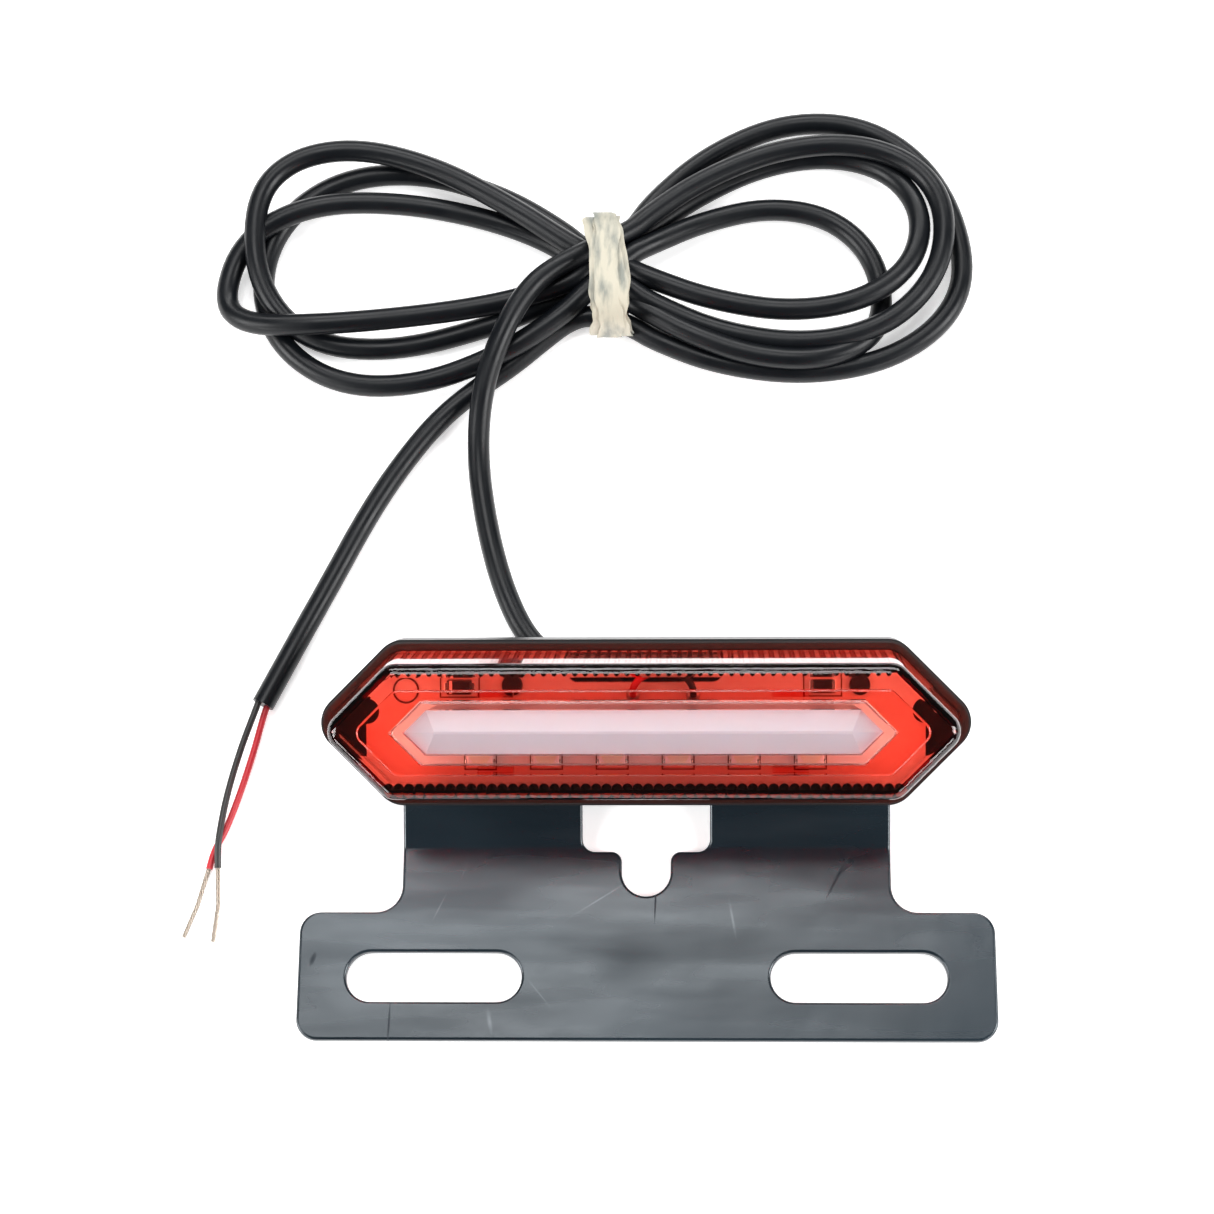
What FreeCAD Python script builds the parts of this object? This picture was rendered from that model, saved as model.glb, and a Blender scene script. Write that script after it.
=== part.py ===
import FreeCAD, Part
import Sketcher
import math
import os
import re
from FreeCAD import Placement, Rotation, Vector

# A motorcycle tail light on its bent steel bracket, lying on a bench with its cable tied up behind it.
# Frame: the origin is midway between the bracket's two slots, on the face that lies on the bench.
# +X runs along the slots, +Y points from the bracket to the lamp, and +Z is up.

# ---------------------------------------------------------------- driving dimensions, in millimetres
# A size that starts with = follows others: the window, the board and its pegs keep their places in the lamp.
SIZES = {
    # bracket
    "sheet_thickness": 2.0,
    "sheet_edge_round": 0.5,
    "plate_length": 119.0,
    "plate_width": 22.0,
    "plate_corner": 3.6,
    "slot_to_lower_edge": 10.8,
    "slot_length": 30.0,
    "slot_width": 8.5,
    "slot_spacing": 72.4,
    "neck_width": 84.0,
    "neck_root_radius": 4.5,
    "crease_reach": 22.4,
    "bend_angle": 20.0,
    "bend_radius": 2.0,
    "lamp_reach": 22.4,
    "tab_past_studs": 8.0,
    "tab_corner": 4.0,
    "gap_width": 22.0,
    "gap_corner": 2.2,
    "gap_below_crease": 0.6,
    "throat_width": 8.4,
    "throat_depth": 8.4,
    "throat_shoulder": 1.8,
    # housing
    "rim_flat": 86.0,
    "rim_height": 28.2,
    "rim_corner": 5.0,
    "housing_depth": 8.0,
    "housing_floor": 2.0,
    "housing_wall": 1.8,
    "housing_edge_round": 0.8,
    "seal_thickness": 0.6,
    "seal_width": 1.3,
    "seal_set_in": 0.35,
    # lens cover
    "flange_set_in": 0.6,
    "flange_thickness": 1.2,
    "skirt_set_in": 1.7,
    "front_set_in": 3.1,
    "lens_depth": 18.6,
    "lens_wall": 1.6,
    "lens_front_round": 2.2,
    "spigot_length": 1.5,
    "spigot_thickness": 0.9,
    "plateau_end_margin": 2.6,
    "plateau_flat": "=rim_flat - 2 * plateau_end_margin",
    "plateau_height": 14.0,
    "plateau_rise": 0.8,
    "plateau_corner": 2.0,
    "lug_length": 5.8,
    "lug_width": 1.0,
    "lug_height": 2.5,
    "lug_spacing": 48.0,
    # window bar and diffuser
    "window_end_margin": 7.0,
    "window_flat": "=rim_flat - 2 * window_end_margin",
    "window_height": 10.4,
    "window_thickness": 3.6,
    "window_proud": 0.5,
    "window_border": 1.5,
    "window_corner": 0.8,
    "diffuser_ridge_rise": 1.3,
    "diffuser_ridge_width": 0.4,
    "diffuser_lead_in": 0.6,
    "guide_draft": 0.5,
    # circuit board
    "board_thickness": 1.6,
    "board_set_in": 2.3,
    "board_seat": 2.4,
    "board_end_margin": 9.6,
    "board_length": "=rim_flat + rim_height - 2 * board_end_margin",
    "board_notch_radius": 2.2,
    "board_notch_height": 1.8,
    "board_recess_length": 26.4,
    "board_recess_width": 3.4,
    "board_recess_level": 8.4,
    "peg_diameter": 3.4,
    "peg_level": 6.2,
    "left_peg_from_end": 24.9,
    "left_peg_x": "=left_peg_from_end - board_length / 2",
    "right_peg_from_end": 11.1,
    "right_peg_x": "=board_length / 2 - right_peg_from_end",
    "peg_stand": 0.8,
    "shoulder_diameter": 6.0,
    "led_side": 5.0,
    "led_thickness": 1.6,
    "led_count": 6,
    "led_pitch": 11.2,
    "led_level": -5.2,
    "led_clearance": 0.8,
    "chip_length": 4.4,
    "chip_width": 2.4,
    "chip_thickness": 0.7,
    "chip_spacing": 9.0,
    "chip_first_x": -3.0,
    "chip_level": 0.0,
    "end_chip_from_peg": 6.3,
    "end_chip_x": "=right_peg_x - end_chip_from_peg",
    "diode_length": 4.6,
    "diode_width": 2.6,
    "diode_thickness": 2.0,
    "diode_from_peg": 8.9,
    "diode_x": "=left_peg_x - diode_from_peg",
    "diode_level": 6.0,
    "solder_diameter": 2.4,
    "solder_rise": 0.9,
    "red_joint_x": -2.0,
    "black_joint_x": 8.2,
    "joint_level": 4.6,
    # lamp fixings, M5
    "stud_spacing": 52.0,
    "stud_diameter": 5.0,
    "stud_hole_clearance": 0.5,
    "stud_hole": "=stud_diameter + stud_hole_clearance",
    "stud_head_diameter": 9.0,
    "stud_head_thickness": 1.6,
    "stud_boss_wall": 1.5,
    "stud_past_nut": 0.95,
    "stud_end_chamfer": 0.5,
    "washer_diameter": 10.0,
    "washer_thickness": 1.0,
    "spring_diameter": 8.7,
    "spring_thickness": 1.3,
    "spring_gap": 1.0,
    "nut_across_flats": 8.0,
    "nut_thickness": 4.0,
    # cable
    "cord_diameter": 4.0,
    "grommet_x": -3.0,
    "grommet_level": 8.0,
    "grommet_flange": 8.4,
    "grommet_waist": 6.4,
    "grommet_proud": 1.5,
    "grommet_lip": 0.9,
    "grommet_socket": 2.0,
    "grommet_bore": 3.0,
    "core_diameter": 1.2,
    "conductor_diameter": 0.9,
    "hank_height": 9.0,
    "tie_width": 8.0,
    "tie_thickness": 0.6,
}

doc = FreeCAD.newDocument("tail_light")
sheet = doc.addObject("Spreadsheet::Sheet", "Sizes")
for row, (alias, value) in enumerate(SIZES.items(), 1):
    sheet.set(f"A{row}", alias)
    sheet.set(f"B{row}", str(value))
    sheet.setAlias(f"B{row}", alias)
doc.recompute()


def size(alias):
    """A driving dimension, read from the sheet."""
    return float(sheet.get(alias))


def cells(expression):
    """The same expression with every dimension's name pointing at the sheet."""
    return re.sub("[a-z_]+", lambda word: f"Sizes.{word[0]}" if word[0] in SIZES else word[0], expression)


# ---------------------------------------------------------------- where the lamp stands
BEND = math.radians(size("bend_angle"))
LAMP_UP = Vector(0, math.cos(BEND), math.sin(BEND))
LAMP_OUT = Vector(0, -math.sin(BEND), math.cos(BEND))
TAB_FOOT = Vector(0, size("crease_reach"), size("sheet_thickness"))
LAMP_SEAT = TAB_FOOT + LAMP_UP * size("lamp_reach")
LAMP_RIM = LAMP_SEAT + LAMP_OUT * size("housing_depth")


def lamp_point(across, level, out):
    """A point given from the middle of the lamp's rim: along it, up its face and out of its face."""
    return LAMP_RIM + Vector(across, 0, 0) + LAMP_UP * level + LAMP_OUT * out


# ---------------------------------------------------------------- helpers for bodies and sketches
def body_named(name, place=None):
    """An empty body. With a place on the lamp (across, level, out) it stands there and leans with the lamp."""
    body = doc.addObject("PartDesign::Body", name)
    body.Label = name
    body.AllowCompound = True
    if place:
        across, level, out = place
        up = f"(lamp_reach + ({level}))"
        forward = f"(housing_depth + ({out}))"
        sine, cosine = "sin(bend_angle * 1 deg)", "cos(bend_angle * 1 deg)"
        body.Placement = Placement(LAMP_RIM, Rotation(Vector(1, 0, 0), size("bend_angle")))
        body.setExpression("Placement.Base.x", cells(across))
        body.setExpression("Placement.Base.y", cells(f"crease_reach + {up} * {cosine} - {forward} * {sine}"))
        body.setExpression("Placement.Base.z", cells(f"sheet_thickness + {up} * {sine} + {forward} * {cosine}"))
    return body


ON_RIM = ("0", "0", "0")


def origin_plane(body, role):
    return next(o for o in body.Origin.OriginFeatures if o.Role == role)


def sketch_on(body, name, level="0", role="XY_Plane"):
    """A sketch on one of the body's own planes, raised by a level worked out from the sheet."""
    sketch = body.newObject("Sketcher::SketchObject", name)
    sketch.AttachmentSupport = [(origin_plane(body, role), "")]
    sketch.MapMode = "FlatFace"
    sketch.setExpression("AttachmentOffset.Base.z", cells(level))
    return sketch


def bind(sketch, constraint, name, expression):
    """Add one named dimension to a sketch and drive it from the sheet."""
    index = sketch.addConstraint(constraint)
    sketch.renameConstraint(index, name)
    sketch.setExpression(f"Constraints.{name}", cells(expression))


def hexagon(body, name, base, inset="0", level="0"):
    """A long hexagon with 45 degree ends, set in evenly from the base shape's flat and height."""
    sketch = sketch_on(body, name, level)
    high = size(f"{base}_height") / 2
    corner = size(f"{base}_flat") / 2
    outline = [(-corner, high), (corner, high), (corner + high, 0),
               (corner, -high), (-corner, -high), (-corner - high, 0)]
    points = [Vector(x, y, 0) for x, y in outline]
    for start, end in zip(points, points[1:] + points[:1]):
        sketch.addGeometry(Part.LineSegment(start, end), False)
    for edge in range(6):
        sketch.addConstraint(Sketcher.Constraint("Coincident", edge, 2, (edge + 1) % 6, 1))
    sketch.addConstraint(Sketcher.Constraint("Symmetric", 0, 1, 0, 2, -2))
    sketch.addConstraint(Sketcher.Constraint("Symmetric", 3, 1, 3, 2, -2))
    sketch.addConstraint(Sketcher.Constraint("Symmetric", 0, 2, 3, 1, -1))
    sketch.addConstraint(Sketcher.Constraint("PointOnObject", 1, 2, -1))
    sketch.addConstraint(Sketcher.Constraint("Symmetric", 1, 2, 4, 2, -2))
    bind(sketch, Sketcher.Constraint("DistanceY", -1, 1, 0, 2, high), "half_height",
         f"{base}_height / 2 - ({inset})")
    bind(sketch, Sketcher.Constraint("DistanceX", -1, 1, 0, 2, corner), "half_flat",
         f"{base}_flat / 2 - ({inset}) * tan(22.5 deg)")
    bind(sketch, Sketcher.Constraint("DistanceX", -1, 1, 1, 2, corner + high), "half_length",
         f"{base}_flat / 2 + {base}_height / 2 - ({inset}) * sqrt(2)")
    return sketch


def add_rectangle(sketch, length, width, centre_x="0", centre_y="0"):
    """One rectangle more in a sketch, its sides and centre from the sheet."""
    first = sketch.GeometryCount
    corners = [Vector(-1, -1, 0), Vector(1, -1, 0), Vector(1, 1, 0), Vector(-1, 1, 0)]
    for start, end in zip(corners, corners[1:] + corners[:1]):
        sketch.addGeometry(Part.LineSegment(start, end), False)
    below, right, above, left = range(first, first + 4)
    for edge, following in ((below, right), (right, above), (above, left), (left, below)):
        sketch.addConstraint(Sketcher.Constraint("Coincident", edge, 2, following, 1))
    for edge in (below, above):
        sketch.addConstraint(Sketcher.Constraint("Horizontal", edge))
    for edge in (right, left):
        sketch.addConstraint(Sketcher.Constraint("Vertical", edge))
    bind(sketch, Sketcher.Constraint("DistanceX", below, 1, below, 2, 2), f"length_{first}", length)
    bind(sketch, Sketcher.Constraint("DistanceY", right, 1, right, 2, 2), f"width_{first}", width)
    bind(sketch, Sketcher.Constraint("DistanceX", -1, 1, below, 2, 1), f"right_{first}",
         f"({centre_x}) + ({length}) / 2")
    bind(sketch, Sketcher.Constraint("DistanceY", -1, 1, right, 2, 1), f"top_{first}",
         f"({centre_y}) + ({width}) / 2")


def rectangle(body, name, length, width, centre_x="0", centre_y="0", level="0", role="XY_Plane"):
    """A sketch with one rectangle, its sides and centre from the sheet."""
    sketch = sketch_on(body, name, level, role)
    add_rectangle(sketch, length, width, centre_x, centre_y)
    return sketch


def circles(body, name, diameter, centres, level="0"):
    """Circles of one diameter, each centre given as a pair of expressions."""
    sketch = sketch_on(body, name, level)
    for number, (x, y) in enumerate(centres):
        sketch.addGeometry(Part.Circle(Vector(10 * number, 1, 0), Vector(0, 0, 1), 1), False)
        bind(sketch, Sketcher.Constraint("Diameter", number, 2), f"diameter_{number}", diameter)
        bind(sketch, Sketcher.Constraint("DistanceX", -1, 1, number, 3, 1), f"centre_x_{number}", x)
        bind(sketch, Sketcher.Constraint("DistanceY", -1, 1, number, 3, 1), f"centre_y_{number}", y)
    return sketch


def obrounds(body, name, length, width, centres, level="0"):
    """Slots with round ends, along X, each centre given as a pair of expressions."""
    sketch = sketch_on(body, name, level)
    for number, (x, y) in enumerate(centres):
        first = 4 * number
        shift = Vector(20 * number, 0, 0)
        a, b, c, d = (shift + Vector(*p) for p in ((-2, 1, 0), (2, 1, 0), (2, -1, 0), (-2, -1, 0)))
        sketch.addGeometry(Part.LineSegment(a, b), False)
        sketch.addGeometry(Part.Arc(b, shift + Vector(3, 0, 0), c), False)
        sketch.addGeometry(Part.LineSegment(c, d), False)
        sketch.addGeometry(Part.Arc(d, shift + Vector(-3, 0, 0), a), False)
        # an arc drawn from its three points runs anticlockwise, so its first end is the lower one on the right
        sketch.addConstraint(Sketcher.Constraint("Tangent", first, 2, first + 1, 2))
        sketch.addConstraint(Sketcher.Constraint("Tangent", first + 1, 1, first + 2, 1))
        sketch.addConstraint(Sketcher.Constraint("Tangent", first + 2, 2, first + 3, 2))
        sketch.addConstraint(Sketcher.Constraint("Tangent", first + 3, 1, first, 1))
        sketch.addConstraint(Sketcher.Constraint("Horizontal", first))
        sketch.addConstraint(Sketcher.Constraint("Horizontal", first + 2))
        bind(sketch, Sketcher.Constraint("Radius", first + 1, 1), f"radius_{number}", f"({width}) / 2")
        bind(sketch, Sketcher.Constraint("DistanceX", first, 1, first, 2, 4), f"straight_{number}",
             f"({length}) - ({width})")
        bind(sketch, Sketcher.Constraint("DistanceX", -1, 1, first + 1, 3, 2), f"right_{number}",
             f"({x}) + (({length}) - ({width})) / 2")
        bind(sketch, Sketcher.Constraint("DistanceY", -1, 1, first + 1, 3, 1), f"level_{number}", y)
    return sketch


def polygon(body, name, points, level="0", role="XY_Plane"):
    """A closed outline of straight edges, each corner a pair of expressions."""
    sketch = sketch_on(body, name, level, role)
    rough = [Vector(math.cos(angle) + 2, math.sin(angle) + 2, 0)
             for angle in (2 * math.pi * n / len(points) for n in range(len(points)))]
    for start, end in zip(rough, rough[1:] + rough[:1]):
        sketch.addGeometry(Part.LineSegment(start, end), False)
    for edge in range(len(points)):
        sketch.addConstraint(Sketcher.Constraint("Coincident", edge, 2, (edge + 1) % len(points), 1))
    for number, (x, y) in enumerate(points):
        bind(sketch, Sketcher.Constraint("DistanceX", -1, 1, number, 1, rough[number].x), f"x_{number}", x)
        bind(sketch, Sketcher.Constraint("DistanceY", -1, 1, number, 1, rough[number].y), f"y_{number}", y)
    return sketch


def pad(body, sketch, length, back=False, midplane=False, taper=None):
    feature = body.newObject("PartDesign::Pad", f"{sketch.Name}_pad")
    feature.Profile = sketch
    feature.setExpression("Length", cells(length))
    if taper:
        feature.setExpression("TaperAngle", cells(taper))
    feature.Reversed = back
    feature.Midplane = midplane
    doc.recompute()
    return feature


def cut(body, sketch, length=None, back=True, taper=None):
    """A pocket, which has to take some of the body away. With no length it goes through all, both ways."""
    before = body.Shape.Volume
    feature = body.newObject("PartDesign::Pocket", f"{sketch.Name}_cut")
    feature.Profile = sketch
    if length is None:
        feature.Type = "ThroughAll"
        feature.Midplane = True
    else:
        feature.setExpression("Length", cells(length))
        feature.Reversed = back
    if taper:
        feature.setExpression("TaperAngle", cells(taper))
    doc.recompute()
    if not body.Shape.Volume < before - 1e-3:
        raise RuntimeError(f"{feature.Name} cuts nothing")
    return feature


def loft(body, near, far):
    feature = body.newObject("PartDesign::AdditiveLoft", f"{near.Name}_loft")
    feature.Profile = near
    feature.Sections = [far]
    feature.Ruled = True
    doc.recompute()
    return feature


def revolve(body, name, outline, sweep=360):
    """Turn an outline of (radius, height) pairs of expressions round the body's own Z axis."""
    sketch = polygon(body, name, outline, role="XZ_Plane")
    feature = body.newObject("PartDesign::Revolution", f"{name}_turn")
    feature.Profile = sketch
    feature.ReferenceAxis = (sketch, ["V_Axis"])
    feature.Angle = sweep
    doc.recompute()
    return feature


def edges_where(shape, wanted):
    return [f"Edge{number}" for number, edge in enumerate(shape.Edges, 1) if wanted(edge)]


def fillet(body, name, wanted, radius, kind="Fillet"):
    """Round (or chamfer) the edges of the body so far that a test picks out."""
    base = body.Tip
    names = edges_where(base.Shape, wanted)
    if not names:
        raise RuntimeError(f"{name} finds no edge")
    feature = body.newObject(f"PartDesign::{kind}", name)
    feature.Base = (base, names)
    feature.setExpression("Radius" if kind == "Fillet" else "Size", cells(radius))
    doc.recompute()
    return feature


def hexagon_corners(base, inset):
    """The six corners of a hexagon, as hexagon() draws them."""
    high = size(f"{base}_height") / 2 - inset
    corner = size(f"{base}_flat") / 2 - inset * math.tan(math.radians(22.5))
    tip = size(f"{base}_flat") / 2 + size(f"{base}_height") / 2 - inset * math.sqrt(2)
    return [(-corner, high), (corner, high), (tip, 0), (corner, -high), (-corner, -high), (-tip, 0)]


def uprights(base, *insets):
    """A test for the upright edges that have an end on a corner of the hexagon at any of the insets."""
    corners = [c for inset in insets for c in hexagon_corners(base, inset)]

    def wanted(edge):
        ends = [v.Point for v in edge.Vertexes]
        if len(ends) < 2 or abs(ends[0].z - ends[1].z) < 0.8 * edge.Length:
            return False
        return any(math.hypot(p.x - x, p.y - y) < 1e-3 for p in ends for x, y in corners)

    return wanted


def at_level(level):
    """A test for edges that lie flat at one height of the body."""
    return lambda edge: abs(edge.BoundBox.ZMin - level) < 1e-3 and abs(edge.BoundBox.ZMax - level) < 1e-3


def row_of(body, feature, length, count):
    """Repeat a feature along X."""
    pattern = body.newObject("PartDesign::LinearPattern", f"{feature.Name}_row")
    pattern.Originals = [feature]
    pattern.Direction = (origin_plane(body, "X_Axis"), [""])
    pattern.setExpression("Length", cells(length))
    pattern.setExpression("Occurrences", cells(count))
    body.Tip = pattern
    doc.recompute()
    return pattern


# ---------------------------------------------------------------- bracket: bent sheet steel
def lean_on_tab(sketch):
    """Move a sketch from the bench plane to the front of the tabs, with its origin on the crease."""
    sketch.AttachmentOffset = Placement(TAB_FOOT, Rotation(Vector(1, 0, 0), size("bend_angle")))
    sketch.setExpression("AttachmentOffset.Base.y", cells("crease_reach"))
    sketch.setExpression("AttachmentOffset.Base.z", cells("sheet_thickness"))


def upright_at(*places):
    """A test for the edges through the sheet's thickness at any of the (x, y) places."""
    def wanted(edge):
        ends = [v.Point for v in edge.Vertexes]
        if len(ends) < 2 or abs(edge.Length - size("sheet_thickness")) > 0.3 * size("sheet_thickness"):
            return False
        return any(math.hypot(p.x - x, p.y - y) < 1e-3 for p in ends for x, y in places)

    return wanted


def skin(face):
    """Whether a face is one of the sheet's two skins, flat or round the bend, and not its cut edge."""
    u, v = face.Surface.parameter(face.CenterOfMass)
    normal = face.normalAt(u, v)
    return abs(normal.x) < 1e-6 and abs(normal.z) > math.cos(BEND + 0.05)


def make_bracket():
    body = body_named("mounting_bracket")
    turn = "tan(bend_angle / 2 * 1 deg)"
    tab = "(lamp_reach + tab_past_studs)"
    sine, cosine = "sin(bend_angle * 1 deg)", "cos(bend_angle * 1 deg)"
    side = polygon(body, "side", [
        ("0", "0"),
        (f"crease_reach + sheet_thickness * {turn}", "0"),
        (f"crease_reach + sheet_thickness * {sine} + {tab} * {cosine}",
         f"sheet_thickness - sheet_thickness * {cosine} + {tab} * {sine}"),
        (f"crease_reach + {tab} * {cosine}", f"sheet_thickness + {tab} * {sine}"),
        ("crease_reach", "sheet_thickness"),
        ("0", "sheet_thickness"),
    ], role="YZ_Plane")
    pad(body, side, "neck_width", midplane=True)

    thick, crease = size("sheet_thickness"), size("crease_reach")
    outer_crease = crease + thick * math.tan(BEND / 2)

    def along_crease(y, z):
        return lambda edge: (abs(edge.BoundBox.XLength - size("neck_width")) < 1e-3
                             and math.hypot(edge.CenterOfMass.y - y, edge.CenterOfMass.z - z) < 1e-3)

    fillet(body, "bend_inside", along_crease(crease, thick), "bend_radius")
    fillet(body, "bend_outside", along_crease(outer_crease, 0), "bend_radius + sheet_thickness")

    wing_middle = "plate_width / 2 - slot_to_lower_edge"
    pad(body, rectangle(body, "wings", "plate_length", "plate_width", "0", wing_middle), "sheet_thickness")
    past_tabs = "crease_reach + lamp_reach + tab_past_studs"
    gap_foot = "crease_reach - gap_below_crease"
    cut(body, rectangle(body, "gap", "gap_width", f"{past_tabs} - ({gap_foot})", "0",
                        f"({past_tabs} + {gap_foot}) / 2"))
    throat_centre = "crease_reach - throat_depth + throat_width / 2"
    cut(body, rectangle(body, "throat", "throat_width", "throat_depth - throat_width / 2", "0",
                        f"({throat_centre} + crease_reach) / 2"))
    cut(body, circles(body, "throat_end", "throat_width", [("0", throat_centre)]))
    cut(body, obrounds(body, "slots", "slot_length", "slot_width",
                       [("slot_spacing / 2", "0"), ("-slot_spacing / 2", "0")]))
    holes = circles(body, "stud_holes", "stud_hole",
                    [("stud_spacing / 2", "lamp_reach"), ("-stud_spacing / 2", "lamp_reach")])
    lean_on_tab(holes)
    cut(body, holes)

    low = -size("slot_to_lower_edge")
    high = low + size("plate_width")
    half_plate, half_neck, half_gap = size("plate_length") / 2, size("neck_width") / 2, size("gap_width") / 2
    foot = crease - size("gap_below_crease")
    fillet(body, "wing_corners", upright_at(*[(s * half_plate, y) for s in (1, -1) for y in (low, high)]),
           "plate_corner")
    fillet(body, "neck_roots", upright_at((half_neck, high), (-half_neck, high)), "neck_root_radius")
    fillet(body, "gap_corners", upright_at((half_gap, foot), (-half_gap, foot)), "gap_corner")
    throat = size("throat_width") / 2
    fillet(body, "throat_shoulders", upright_at((throat, foot), (-throat, foot)), "throat_shoulder")
    tab_end = TAB_FOOT + LAMP_UP * (size("lamp_reach") + size("tab_past_studs"))
    fillet(body, "tab_corners",
           upright_at(*[(s * x, tab_end.y) for s in (1, -1) for x in (half_neck, half_gap)]), "tab_corner")

    shape = body.Tip.Shape

    def outline(edge):
        faces = shape.ancestorsOfType(edge, Part.Face)
        return len(faces) == 2 and skin(faces[0]) != skin(faces[1])

    fillet(body, "edge_round", outline, "sheet_edge_round")
    return body


# ---------------------------------------------------------------- housing and lens
FIT = 0.1        # the gap between moulded pieces that slide together


def make_housing():
    body = body_named("rear_housing", ON_RIM)
    pad(body, hexagon(body, "outside", "rim", level="-housing_depth"), "housing_depth")
    fillet(body, "outer_corners", uprights("rim", 0), "rim_corner")
    fillet(body, "back_edge", at_level(-size("housing_depth")), "housing_edge_round")
    cut(body, hexagon(body, "inside", "rim", "housing_wall"), "housing_depth - housing_floor", back=False)
    fillet(body, "inner_corners", uprights("rim", size("housing_wall")), "rim_corner - housing_wall")

    floor = "housing_floor - housing_depth"
    pegs = [("left_peg_x", "peg_level"), ("right_peg_x", "peg_level")]
    rests = [(x, f"-{y}") for x, y in pegs]
    pad(body, circles(body, "shoulders", "shoulder_diameter", pegs + rests, floor),
        "housing_depth - housing_floor - board_seat - board_thickness")
    pad(body, circles(body, "pegs", "peg_diameter", pegs, floor),
        "housing_depth - housing_floor - board_seat + peg_stand")
    studs = [("stud_spacing / 2", "0"), ("-stud_spacing / 2", "0")]
    pad(body, circles(body, "stud_bosses", "stud_head_diameter + 2 * stud_boss_wall", studs, floor),
        "stud_head_thickness")
    cut(body, circles(body, "stud_seats", f"stud_head_diameter + {2 * FIT}", studs, floor),
        "stud_head_thickness * 2")
    cut(body, circles(body, "stud_bores", f"stud_diameter + {2 * FIT}", studs))
    cut(body, circles(body, "cable_hole", "grommet_waist", [("grommet_x", "grommet_level")]))
    return body


def make_seal():
    body = body_named("lens_seal", ON_RIM)
    pad(body, hexagon(body, "outside", "rim", "seal_set_in"), "seal_thickness")
    cut(body, hexagon(body, "inside", "rim", "seal_set_in + seal_width"))
    inner = size("seal_set_in") + size("seal_width")
    fillet(body, "outer_corners", uprights("rim", size("seal_set_in")), "rim_corner - seal_set_in")
    fillet(body, "inner_corners", uprights("rim", inner), "rim_corner - seal_set_in - seal_width")
    return body


LENS_FRONT = "seal_thickness + lens_depth"
LENS_TOP = f"{LENS_FRONT} + plateau_rise"


def make_lens():
    body = body_named("lens_cover", ON_RIM)
    draft = "atan((front_set_in - skirt_set_in) / lens_depth)"
    pad(body, hexagon(body, "skirt", "rim", "skirt_set_in", "seal_thickness"), "lens_depth",
        taper=f"-{draft}")
    fillet(body, "skirt_corners", uprights("rim", size("skirt_set_in")), "rim_corner - skirt_set_in")
    front = size("seal_thickness") + size("lens_depth")
    fillet(body, "front_round", at_level(front), "lens_front_round")
    pad(body, hexagon(body, "flange", "rim", "flange_set_in", "seal_thickness"), "flange_thickness")
    fillet(body, "flange_corners", uprights("rim", size("flange_set_in")), "rim_corner - flange_set_in")
    pad(body, hexagon(body, "plateau", "plateau", level=f"{LENS_FRONT} - flange_thickness"),
        "plateau_rise + flange_thickness")
    fillet(body, "plateau_corners", uprights("plateau", 0), "plateau_corner")
    fillet(body, "plateau_edge", at_level(front + size("plateau_rise")), "plateau_rise / 2")
    spigot_out = f"(housing_wall + {FIT})"
    spigot_in = f"({spigot_out} + spigot_thickness)"
    pad(body, hexagon(body, "spigot", "rim", spigot_out, "seal_thickness"), "spigot_length", back=True)
    fillet(body, "spigot_corners", uprights("rim", size("housing_wall") + FIT), "rim_corner - housing_wall")
    cut(body, hexagon(body, "hollow", "rim", spigot_in, "seal_thickness - spigot_length"),
        "spigot_length + lens_depth - lens_wall",
        taper=f"-atan((front_set_in + lens_wall - {spigot_in}) / (spigot_length + lens_depth - lens_wall))")
    cut(body, hexagon(body, "window", "window", f"-{FIT}", LENS_TOP), "lens_wall + plateau_rise + 1", back=False)
    for side, name in ((1, "upper_catch"), (-1, "lower_catch")):
        sketch = sketch_on(body, name, f"{LENS_FRONT} - lens_wall - lug_height")
        for end in (1, -1):
            add_rectangle(sketch, "lug_length", "lug_width", f"{end} * lug_spacing / 2",
                          f"{side} * (window_height / 2 + lug_width)")
        pad(body, sketch, "lug_height + lens_wall / 2")
    return body


WINDOW_TOP = f"{LENS_TOP} + window_proud"
GUIDE_IN = f"window_border + {FIT}"
ROOF_FOOT = f"{WINDOW_TOP} - window_thickness + diffuser_lead_in"


def make_window():
    body = body_named("window_bar", ON_RIM)
    pad(body, hexagon(body, "bar", "window", level=f"{WINDOW_TOP} - window_thickness"), "window_thickness")
    fillet(body, "bar_corners", uprights("window", 0), "window_corner")
    top = size("seal_thickness") + size("lens_depth") + size("plateau_rise") + size("window_proud")
    fillet(body, "bar_edge", at_level(top), "window_proud")
    cut(body, hexagon(body, "recess", "window", "window_border", f"{WINDOW_TOP} - window_thickness"),
        f"diffuser_lead_in + diffuser_ridge_rise + {FIT}", back=True)
    return body


def make_diffuser():
    body = body_named("light_diffuser", ON_RIM)
    depth = f"{ROOF_FOOT} - (led_thickness + led_clearance - board_seat)"
    pad(body, hexagon(body, "guide", "window", GUIDE_IN, ROOF_FOOT), depth, back=True,
        taper=f"-atan(guide_draft / ({depth}))")
    loft(body, hexagon(body, "roof_foot", "window", GUIDE_IN, ROOF_FOOT),
         hexagon(body, "roof_ridge", "window", "window_height / 2 - diffuser_ridge_width / 2",
                 f"{ROOF_FOOT} + diffuser_ridge_rise"))
    return body


# ---------------------------------------------------------------- circuit board and what it carries
BOARD_FACE = "-board_seat"


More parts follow.
